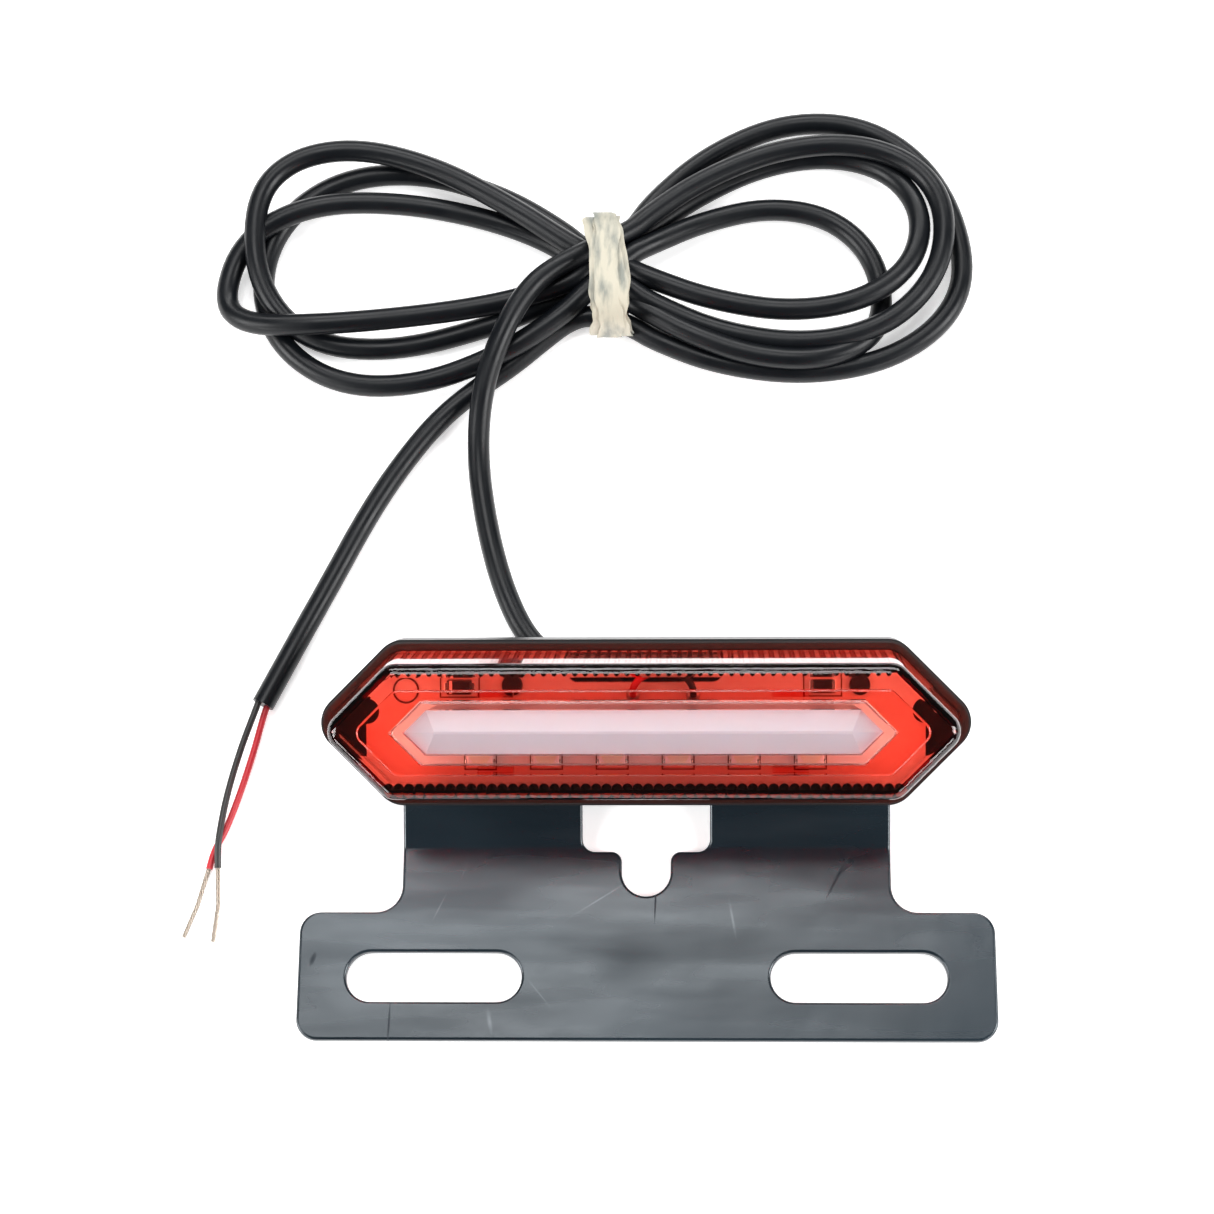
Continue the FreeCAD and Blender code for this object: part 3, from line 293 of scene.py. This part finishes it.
def marks(material, socket, change, places):
    """Changes a number of the shader inside long or round marks, each given in millimetres as
    (x, y, turn in degrees, half length, half width). It fades out towards the mark's edge."""
    tree = material.node_tree
    target = tree.nodes["Principled BSDF"].inputs[socket]
    where = tree.nodes.new("ShaderNodeTexCoord")
    for x, y, turn, half_length, half_width in places:
        place = tree.nodes.new("ShaderNodeMapping")
        place.vector_type = "TEXTURE"
        place.inputs["Location"].default_value = (x * MM, y * MM, 0)
        place.inputs["Rotation"].default_value = (0, 0, math.radians(turn))
        place.inputs["Scale"].default_value = (half_length * MM, half_width * MM, 20 * MM)
        mark = tree.nodes.new("ShaderNodeTexGradient")
        mark.gradient_type = "SPHERICAL"
        more = tree.nodes.new("ShaderNodeMath")
        more.operation = "MULTIPLY_ADD"
        more.inputs[1].default_value = change
        more.inputs[2].default_value = target.default_value
        if target.links:
            tree.links.new(target.links[0].from_socket, more.inputs[2])
        tree.links.new(where.outputs["Object"], place.inputs["Vector"])
        tree.links.new(place.outputs["Vector"], mark.inputs["Vector"])
        tree.links.new(mark.outputs["Fac"], more.inputs[0])
        tree.links.new(more.outputs["Value"], target)


def coat(piece, material):
    """The piece wears this finish all over."""
    piece.data.materials.clear()
    piece.data.materials.append(material)


def smooth(piece, angle=35):
    """Rounds the shading of a CAD piece, and keeps edges sharper than the angle."""
    bpy.ops.object.select_all(action="DESELECT")
    piece.select_set(True)
    bpy.context.view_layer.objects.active = piece
    bpy.ops.object.shade_smooth_by_angle(angle=math.radians(angle))


print("finish helpers ready")

# %% [markdown]
# ### Cable sheath, tape and copper
# PVC sheath is nearly black with a soft, wide sheen and faint marks from the die it was drawn through.

# %% Sheath and core insulation
sheath = finish("black PVC sheath", (0.0035, 0.0045, 0.006), 0.36, Specular_IOR_Level=0.25)
relief(sheath, 0.7 * MM, 0.012 * MM)
vary(sheath, "Roughness", 6 * MM, 0.30, 0.42)
coat(cable, sheath)
black_pvc = finish("black core PVC", (0.02, 0.02, 0.02), 0.4)
red_pvc = finish("red core PVC", (0.48, 0.02, 0.03), 0.38)
coat(black_core, black_pvc)
coat(red_core, red_pvc)
print("cable finishes done")

# %% [markdown]
# ### Twisted copper ends
# Each core ends in a few millimetres of copper strands, twisted by hand and dipped in solder. Six
# thin strands wound round one another show the twist in the outline. A strand is a helix round the
# core's own line, worked out by a loop.

# %% Twist the strands
STRANDS = 6
STRAND = 0.34 * MM
STRAND_STEPS = 30
TWIST_PER_STEP = 0.42
STRAND_OFFSET = 0.27 * MM


def twisted(name, points, material):
    """Strands wound round the line through the points, joined into one piece."""
    line = [Vector(p) * MM for p in points]
    strands = []
    for number in range(STRANDS):
        curve = bpy.data.curves.new(name, "CURVE")
        curve.dimensions = "3D"
        spline = curve.splines.new("POLY")
        spline.points.add(STRAND_STEPS)
        for step in range(STRAND_STEPS + 1):
            part = step / STRAND_STEPS * (len(line) - 1)
            before = min(int(part), len(line) - 2)
            centre = line[before].lerp(line[before + 1], part - before)
            ahead = (line[before + 1] - line[before]).normalized()
            side = ahead.cross(Vector((0, 0, 1))).normalized()
            up = side.cross(ahead)
            angle = 2 * math.pi * number / STRANDS + step * TWIST_PER_STEP
            reach = STRAND_OFFSET * (1 - 0.25 * step / STRAND_STEPS)
            spot = centre + side * math.cos(angle) * reach + up * math.sin(angle) * reach
            spline.points[step].co = (*spot, 1)
        curve.bevel_depth = STRAND / 2
        curve.bevel_resolution = 1
        curve.use_fill_caps = True
        strand = bpy.data.objects.new(name, curve)
        bpy.context.scene.collection.objects.link(strand)
        strands.append(strand)
    bpy.ops.object.select_all(action="DESELECT")
    for strand in strands:
        strand.select_set(True)
    bpy.context.view_layer.objects.active = strands[0]
    bpy.ops.object.convert(target="MESH")
    bpy.ops.object.join()
    piece = bpy.context.object
    piece.name = name
    coat(piece, material)
    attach(piece, "root")
    return piece


tinned = finish("tinned copper", (0.36, 0.31, 0.26), 0.32, 1.0)
vary(tinned, "Roughness", 0.8 * MM, 0.22, 0.5)
black_strands = twisted("black_core_strands", BLACK_END, tinned)
red_strands = twisted("red_core_strands", RED_END, tinned)
for piece, node in ((black_strands, "tinned_end_black"), (red_strands, "tinned_end_red")):
    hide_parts(node)
print("strands wound:", len(black_strands.data.polygons), "faces each")

# %% [markdown]
# ### The tape round the hank
# The hank is held by a strip of cream paper tape, wound five times. Each turn leans its own way, so
# the edges show as steps. One turn is an open cylinder pressed to a flat oval, given thickness and
# a few creases. The turns sit a hair outside one another.

# %% Wind the tape
TIE_CENTRE = Vector((-7.4, 128.2, 5.9)) * MM
TURNS = 5
TAPE_WIDTH = 4.4 * MM
HALF_ACROSS = 10.4 * MM
HALF_HIGH = 5.65 * MM
SQUARENESS = 0.62
LEANS = (-7, -4, 0, -6, -3)
SHIFTS = (-1.1, 1.5, -0.5, 0.9, 0.2)
random.seed(7)
turns = []
for number in range(TURNS):
    bpy.ops.object.select_all(action="DESELECT")
    bpy.ops.mesh.primitive_cylinder_add(vertices=64, radius=1, depth=TAPE_WIDTH, end_fill_type="NOTHING",
                                        rotation=(0, math.pi / 2, 0))
    turn = bpy.context.object
    bpy.ops.object.transform_apply(location=True, rotation=True, scale=True)
    bpy.ops.object.mode_set(mode="EDIT")
    bpy.ops.mesh.select_all(action="SELECT")
    bpy.ops.mesh.subdivide(number_cuts=3)
    bpy.ops.object.mode_set(mode="OBJECT")
    lean = math.radians(LEANS[number])
    shift = SHIFTS[number] * MM
    grow = 0.2 * MM * number
    wave = random.uniform(0, 6)
    for vertex in turn.data.vertices:
        x, y, z = vertex.co
        angle = math.atan2(z, y)
        across = math.copysign(abs(math.cos(angle)) ** SQUARENESS, math.cos(angle)) * (HALF_ACROSS + grow)
        high = math.copysign(abs(math.sin(angle)) ** SQUARENESS, math.sin(angle)) * (HALF_HIGH + grow)
        crease = 0.16 * MM * math.sin(7 * angle + wave) * math.sin(x / TAPE_WIDTH * 9 + wave)
        edge = 0.4 * MM * math.sin(4 * angle + wave) + 0.15 * MM * math.sin(11 * angle + 2 * wave)
        gather = 1 - 0.35 * max(0, math.cos(angle)) ** 4
        vertex.co = ((x + edge + shift) * gather + math.tan(lean) * across, across, high + crease)
    turn.data.transform(Matrix.Translation(TIE_CENTRE))
    turns.append(turn)
bpy.ops.object.select_all(action="DESELECT")
for turn in turns:
    turn.select_set(True)
bpy.context.view_layer.objects.active = turns[0]
bpy.ops.object.join()
tape = bpy.context.object
tape.name = "paper_tape"
wall = tape.modifiers.new("thickness", "SOLIDIFY")
wall.thickness = 0.22 * MM
wall.offset = 1
bpy.ops.object.modifier_apply(modifier="thickness")
bpy.ops.object.shade_smooth_by_angle(angle=math.radians(40))
lowest = min(v.co.z for v in tape.data.vertices)
tape.data.transform(Matrix.Translation((0, 0, 0.05 * MM - min(lowest, 0.05 * MM))))
paper_tape = finish("cream paper tape", (0.6, 0.56, 0.45), 0.5)
tint(paper_tape, 5.0 * MM, (0.22, 0.23, 0.20), (0.48, 0.45, 0.36), 0.34, 0.54, detail=4.0,
     stretch=(2.4, 0.7, 0.7))
relief(paper_tape, 1.6 * MM, 0.10 * MM, stretch=(3, 0.5, 0.5))
coat(tape, paper_tape)
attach(tape, "root")
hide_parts("coil_tie")
print("tape:", TURNS, "turns,", len(tape.data.polygons), "faces")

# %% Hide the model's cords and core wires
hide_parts("cord_lead", "cord_coil", "cord_tail")
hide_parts("core_wire_black")
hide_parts("core_wire_red")

# %% [markdown]
# ## Bracket
# The bracket is 2 mm sheet steel, cut, bent and powder coated gloss black. Up close the coat has
# orange peel, a soft waviness, and marks from handling. The waviness is a low bump. Each scratch is a
# long thin ellipse in which the roughness or the shine changes, and a thumb mark is a round one.

# %% Paint the bracket
gloss_black = finish("gloss black powder coat", (0.006, 0.010, 0.015), 0.3, Specular_IOR_Level=0.7)
relief(gloss_black, 1.4 * MM, 0.008 * MM)
relief(gloss_black, 30 * MM, 0.35 * MM)
vary(gloss_black, "Roughness", 5 * MM, 0.20, 0.36, detail=2.0, stretch=(0.15, 1, 1))
tint(gloss_black, 40 * MM, (0.003, 0.007, 0.011), (0.010, 0.018, 0.025), detail=1.5)
gloss_black.node_tree.nodes["Principled BSDF"].inputs["Specular Tint"].default_value = (0.88, 0.95, 1, 1)
HANDLING = [(33.2, 18.0, 62, 5.5, 0.30), (34.0, 18.6, 40, 2.2, 0.25),
            (-43.6, -8.0, 88, 4.0, 0.22), (-57.0, 3.0, 70, 1.4, 0.5), (1.6, 13.0, 88, 4.0, 0.2)]
BRIGHT_SCRATCHES = [(-31.0, 19.4, 70, 2.8, 0.22), (-35.5, 12.0, 64, 3.0, 0.2), (-8.0, 13.4, 32, 8.0, 0.16),
                    (-26.5, -7.5, 100, 2.6, 0.5), (14.8, 10.0, 100, 4.0, 0.3), (-18.0, -3.0, 130, 4.0, 0.15)]
THUMB_MARK = [(-3.0, 2.8, 20, 7.6, 6.2)]
marks(gloss_black, "Roughness", 0.5, HANDLING)
marks(gloss_black, "Roughness", 0.12, THUMB_MARK)
marks(gloss_black, "Specular IOR Level", 0.5, BRIGHT_SCRATCHES)
bracket = nodes["mounting_bracket"]
coat(bracket, gloss_black)
smooth(bracket)
print("bracket painted")

# %% [markdown]
# ## Housing, seal, grommet and fixings
# The tray behind the lens is moulded in black plastic with a fine spark-eroded grain. The seal and
# the grommet are black rubber. Studs, washers and nuts are zinc-plated steel, a pale grey metal with
# a faintly uneven shine; a wave pattern along the stud gives its thread.

# %% Black plastics and rubber
black_plastic = finish("black moulded plastic", (0.014, 0.014, 0.015), 0.38)
relief(black_plastic, 0.35 * MM, 0.01 * MM)
rubber = finish("black rubber", (0.018, 0.018, 0.018), 0.62)
relief(rubber, 0.5 * MM, 0.01 * MM)
for node, material in (("rear_housing", black_plastic), ("lens_seal", rubber), ("cable_grommet", rubber)):
    coat(nodes[node], material)
    smooth(nodes[node])
print("housing, seal and grommet done")

# %% Zinc-plated fixings and their threads
zinc = finish("zinc plating", (0.6, 0.6, 0.58), 0.3, 1.0)
vary(zinc, "Roughness", 2 * MM, 0.2, 0.42)
relief(zinc, 0.6 * MM, 0.008 * MM)
threaded = finish("zinc plated thread", (0.56, 0.56, 0.54), 0.32, 1.0)
THREAD_PITCH = 0.8 * MM
LAMP_LEAN = math.radians(20)


def thread(material):
    """Ridges round the stud, one pitch apart, square to the lamp's back."""
    tree = material.node_tree
    place = tree.nodes.new("ShaderNodeTexCoord")
    turn = tree.nodes.new("ShaderNodeMapping")
    turn.inputs["Rotation"].default_value = (-LAMP_LEAN, 0, 0)
    ridges = tree.nodes.new("ShaderNodeTexWave")
    ridges.bands_direction = "Z"
    ridges.inputs["Scale"].default_value = 0.314 / THREAD_PITCH
    bump = tree.nodes.new("ShaderNodeBump")
    bump.inputs["Distance"].default_value = 0.3 * MM
    tree.links.new(place.outputs["Object"], turn.inputs["Vector"])
    tree.links.new(turn.outputs["Vector"], ridges.inputs["Vector"])
    tree.links.new(ridges.outputs["Fac"], bump.inputs["Height"])
    tree.links.new(bump.outputs["Normal"], tree.nodes["Principled BSDF"].inputs["Normal"])


thread(threaded)
for node, material in (
    ("mounting_studs", threaded),
    ("flat_washers", zinc),
    ("spring_washers", zinc),
    ("hex_nuts", zinc),
):
    coat(nodes[node], material)
    smooth(nodes[node])
print("fixings plated")

# %% [markdown]
# ## The lens
# The lens is one moulding of clear red acrylic. What makes it look deep is the way colour builds up
# with the path of light inside it: thin walls look orange-red, long paths along the skirt look like
# wine. Volume Absorption does just that, so the surface itself stays colourless glass. Lamps would
# not find their way through glass while rendering, so for shadow rays the surface is transparent.
# The flutes wear a darker, denser copy of it that lets less light through: painted shade.

# %% Clear plastics that let light in


def clear(name, roughness, density, colour, shade, ior=1.49):
    """Clear moulded plastic whose colour deepens with the light's path through it. shade is how much
    light each surface lets on to what is behind it."""
    material = bpy.data.materials.new(name)
    material.use_nodes = True
    tree = material.node_tree
    shader = tree.nodes["Principled BSDF"]
    shader.inputs["Base Color"].default_value = (1, 1, 1, 1)
    shader.inputs["Roughness"].default_value = roughness
    shader.inputs["IOR"].default_value = ior
    shader.inputs["Transmission Weight"].default_value = 1.0
    passing = tree.nodes.new("ShaderNodeBsdfTransparent")
    passing.inputs["Color"].default_value = (*shade, 1)
    rays = tree.nodes.new("ShaderNodeLightPath")
    either = tree.nodes.new("ShaderNodeMixShader")
    depth = tree.nodes.new("ShaderNodeVolumeAbsorption")
    depth.inputs["Color"].default_value = (*colour, 1)
    depth.inputs["Density"].default_value = density
    out = tree.nodes["Material Output"]
    tree.links.new(rays.outputs["Is Shadow Ray"], either.inputs["Fac"])
    tree.links.new(shader.outputs["BSDF"], either.inputs[1])
    tree.links.new(passing.outputs["BSDF"], either.inputs[2])
    tree.links.new(either.outputs["Shader"], out.inputs["Surface"])
    tree.links.new(depth.outputs["Volume"], out.inputs["Volume"])
    return material


red_acrylic = clear("red acrylic", 0.03, 800, (0.94, 0.20, 0.02), (0.93, 0.88, 0.88))
# A darker copy for the flutes, with denser deeper red and dimmer shadow rays: painted shade.
red_acrylic_with_painted_shade = clear("red acrylic with painted shade for the flutes", 0.05, 1100, (0.72, 0.10, 0.05), (0.8, 0.6, 0.6))
clear_acrylic = clear("clear acrylic", 0.02, 20, (0.92, 0.95, 0.97), (0.97, 0.97, 0.97))
lens = nodes["lens_cover"]
window = nodes["window_bar"]
coat(lens, red_acrylic)
coat(window, clear_acrylic)
smooth(lens)
smooth(window)
print("lens and window are clear")

# %% [markdown]
# ### Flutes inside the lens
# The long inner walls of such a lens carry upright flutes, which spread the light of the side
# marker. Against the pale board they show as a scalloped edge. One flute is a slim round bar, leaning
# with the wall; an Array modifier repeats it at an even pitch, and applying it gives one mesh.

# %% Place things in the lamp's own axes
RIM_CENTRE = Vector((0, 40.713, 17.179)) * MM
LAMP = Matrix.Translation(RIM_CENTRE) @ Matrix.Rotation(LAMP_LEAN, 4, "X")


def on_lamp(piece):
    """Moves a piece modelled flat at the origin into the lamp, and writes the move into its mesh."""
    piece.matrix_world = LAMP @ piece.matrix_world
    bpy.ops.object.select_all(action="DESELECT")
    piece.select_set(True)
    bpy.context.view_layer.objects.active = piece
    bpy.ops.object.transform_apply(location=True, rotation=True, scale=True)
    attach(piece, "root")
    return piece


FLUTE_PITCH = 1.7 * MM
FLUTE_COUNT = 50
WALL_FOOT = (10.9 * MM, -0.6 * MM)
WALL_TOP = (9.35 * MM, 16.6 * MM)


def flutes(name, side, radius):
    """The row of flutes on the upper (1) or lower (-1) inner wall."""
    foot = Vector((0, side * WALL_FOOT[0], WALL_FOOT[1]))
    top = Vector((0, side * WALL_TOP[0], WALL_TOP[1]))
    bpy.ops.object.select_all(action="DESELECT")
    bpy.ops.mesh.primitive_cylinder_add(vertices=12, radius=radius, depth=(top - foot).length)
    bar = bpy.context.object
    bar.name = name
    bar.rotation_euler = (top - foot).to_track_quat("Z", "X").to_euler()
    bar.location = (foot + top) / 2 + Vector((-(FLUTE_COUNT - 1) * FLUTE_PITCH / 2, 0, 0))
    bpy.ops.object.transform_apply(location=True, rotation=True, scale=True)
    row = bar.modifiers.new("row", "ARRAY")
    row.count = FLUTE_COUNT
    row.use_relative_offset = False
    row.use_constant_offset = True
    row.constant_offset_displace = (FLUTE_PITCH, 0, 0)
    bpy.ops.object.modifier_apply(modifier="row")
    bpy.ops.object.shade_smooth_by_angle(angle=math.radians(40))
    # The flutes wear the darker copy of the red acrylic: painted shade.
    coat(bar, red_acrylic_with_painted_shade)
    return on_lamp(bar)


for name, side, radius in (("upper_lens_flutes", 1, 0.5 * MM), ("lower_lens_flutes", -1, 0.88 * MM)):
    flutes(name, side, radius)
print("flutes:", FLUTE_COUNT, "a side")

# %% [markdown]
# ## Diffuser, board and small parts
# Under the clear window a milky bar spreads the light of the LEDs. Its roof has two long facets, so
# one looks brighter than the other. Milky plastic is light that scatters inside: subsurface colour
# on a pale, satin surface.

# %% Milky light guide
milky = finish("milky plastic", (0.26, 0.212, 0.232), 0.34, Subsurface_Weight=0.2, Subsurface_Scale=0.002)
coat(nodes["light_diffuser"], milky)
smooth(nodes["light_diffuser"], 12)
print("diffuser done")

# %% Board, solder and inner wires
white_mask = finish("white solder mask", (0.68, 0.67, 0.64), 0.42)
relief(white_mask, 0.5 * MM, 0.008 * MM)
solder = finish("solder", (0.5, 0.5, 0.5), 0.3, 1.0)
coat(nodes["circuit_board"], white_mask)
coat(nodes["solder_joints"], solder)
coat(nodes["inner_wire_red"], red_pvc)
coat(nodes["inner_wire_black"], black_pvc)
for node in ("solder_joints", "inner_wire_red", "inner_wire_black"):
    smooth(nodes[node])
print("board and wires done")

# %% [markdown]
# ### Print and packages on the board
# A board is read by its print: an outline round every part. An outline is a flat frame, made from a
# plane by an inset, with the middle face deleted. LEDs are square pale cases with a round pale
# resin window; each one is built at its own place in the row.

# %% Printed outlines
BOARD_TOP = -2.4 * MM
PRINT = 0.03 * MM
dark_print = finish("dark board print", (0.05, 0.04, 0.04), 0.6)


def outline(name, x, v, width, height, stroke=0.22 * MM):
    """A printed rectangle frame on the board, with its centre at (x, v) on the lamp."""
    bpy.ops.object.select_all(action="DESELECT")
    bpy.ops.mesh.primitive_plane_add(size=1, location=(x, v, BOARD_TOP + PRINT))
    frame_piece = bpy.context.object
    frame_piece.name = name
    frame_piece.scale = (width, height, 1)
    bpy.ops.object.transform_apply(location=True, rotation=True, scale=True)
    bpy.ops.object.mode_set(mode="EDIT")
    bpy.ops.mesh.select_all(action="SELECT")
    bpy.ops.mesh.inset(thickness=stroke)
    bpy.ops.mesh.delete(type="FACE")
    bpy.ops.mesh.select_all(action="SELECT")
    bpy.ops.object.mode_set(mode="OBJECT")
    coat(frame_piece, dark_print)
    return frame_piece


def joined(name, pieces):
    """Several small pieces become one."""
    bpy.ops.object.select_all(action="DESELECT")
    for piece in pieces:
        piece.select_set(True)
    bpy.context.view_layer.objects.active = pieces[0]
    bpy.ops.object.join()
    pieces[0].name = name
    return pieces[0]


LED_PITCH = 11.2
DIODE_X = -31.5
END_CHIP_X = 30.1
END_PARTS_V = 6.0
MIDDLE_CHIPS_X = (-3.0, 6.0, 15.0)
LED_X = [(number - 2.5) * LED_PITCH * MM for number in range(6)]
LED_V = -5.2 * MM
prints = [outline("print", x, LED_V, 5.6 * MM, 6.0 * MM) for x in LED_X]
prints.append(outline("print", DIODE_X * MM, END_PARTS_V * MM, 6.8 * MM, 3.8 * MM))
prints.append(outline("print", END_CHIP_X * MM, END_PARTS_V * MM, 6.6 * MM, 3.6 * MM))
prints += [outline("print", x * MM, 0, 6.2 * MM, 3.4 * MM) for x in MIDDLE_CHIPS_X]
bpy.ops.object.select_all(action="DESELECT")
bpy.ops.mesh.primitive_torus_add(location=(-40.7 * MM, 5.4 * MM, BOARD_TOP + PRINT), major_radius=2.1 * MM,
                                 minor_radius=0.16 * MM, major_segments=40, minor_segments=6)
ring = bpy.context.object
coat(ring, dark_print)
prints.append(ring)
board_print = on_lamp(joined("board_print", prints))
print("print:", len(board_print.data.polygons), "faces")

# %% LED packages
case_white = finish("LED case", (0.8, 0.78, 0.74), 0.35)
phosphor = finish("LED resin", (0.80, 0.78, 0.60), 0.25, Subsurface_Weight=0.3, Subsurface_Scale=0.001)
lead_metal = finish("plated lead", (0.7, 0.7, 0.68), 0.25, 1.0)
LED_SIDE = 5.0 * MM
LED_HIGH = 1.6 * MM


def block(name, centre, size, material, edge=0.15 * MM):
    """A small box with softened edges."""
    bpy.ops.object.select_all(action="DESELECT")
    bpy.ops.mesh.primitive_cube_add(size=1, location=centre)
    piece = bpy.context.object
    piece.name = name
    piece.scale = size
    bpy.ops.object.transform_apply(location=True, rotation=True, scale=True)
    bpy.ops.object.mode_set(mode="EDIT")
    bpy.ops.mesh.select_all(action="SELECT")
    bpy.ops.mesh.bevel(offset=edge, segments=2, affect="EDGES")
    bpy.ops.object.mode_set(mode="OBJECT")
    coat(piece, material)
    return piece


def led(x):
    """One square LED: pale case, round resin window on top, three leads a side."""
    middle = BOARD_TOP + LED_HIGH / 2
    parts = [block("led", (x, LED_V, middle), (LED_SIDE * 0.88, LED_SIDE * 0.96, LED_HIGH), case_white)]
    bpy.ops.object.select_all(action="DESELECT")
    bpy.ops.mesh.primitive_cylinder_add(vertices=32, radius=LED_SIDE * 0.38, depth=0.1 * MM,
                                        location=(x, LED_V, BOARD_TOP + LED_HIGH))
    resin = bpy.context.object
    coat(resin, phosphor)
    parts.append(resin)
    for side in (-1, 1):
        for place in (-1, 0, 1):
            spot = (x + side * LED_SIDE * 0.46, LED_V + place * 1.5 * MM, BOARD_TOP + 0.25 * MM)
            parts.append(block("lead", spot, (0.5 * MM, 0.8 * MM, 0.5 * MM), lead_metal, 0.06 * MM))
    return parts


leds = on_lamp(joined("LED_packages", [part for x in LED_X for part in led(x)]))
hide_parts("leds")
print("LEDs:", len(leds.data.polygons), "faces")

# %% Chip resistors and diode
black_chip = finish("black chip", (0.02, 0.02, 0.022), 0.3)
chips = []
low = BOARD_TOP / MM
for x, v in [(x, 0.0) for x in MIDDLE_CHIPS_X] + [(END_CHIP_X, END_PARTS_V)]:
    spot = Vector((x, v, low + 0.36)) * MM
    chips.append(block("chip", spot, Vector((3.3, 2.3, 0.66)) * MM, black_chip, 0.06 * MM))
    for side in (-1, 1):
        spot = Vector((x + side * 1.9, v, low + 0.33)) * MM
        chips.append(block("cap", spot, Vector((0.6, 2.36, 0.62)) * MM, lead_metal, 0.08 * MM))
resistors = on_lamp(joined("chip_resistors", chips))
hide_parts("resistors")
spot = Vector((DIODE_X, END_PARTS_V, -1.35)) * MM
parts = [block("case", spot, Vector((4.2, 2.5, 1.8)) * MM, black_chip, 0.25 * MM)]
spot = Vector((-32.9, END_PARTS_V, -0.44)) * MM
parts.append(block("band", spot, Vector((0.5, 2.2, 0.04)) * MM, case_white, 0.01 * MM))
for side in (-1, 1):
    spot = Vector((DIODE_X + side * 2.2, END_PARTS_V, -2.2)) * MM
    parts.append(block("lead", spot, Vector((0.8, 1.4, 0.3)) * MM, lead_metal, 0.06 * MM))
diode = on_lamp(joined("diode_with_leads", parts))
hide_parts("diode")
print("chips and diode done")
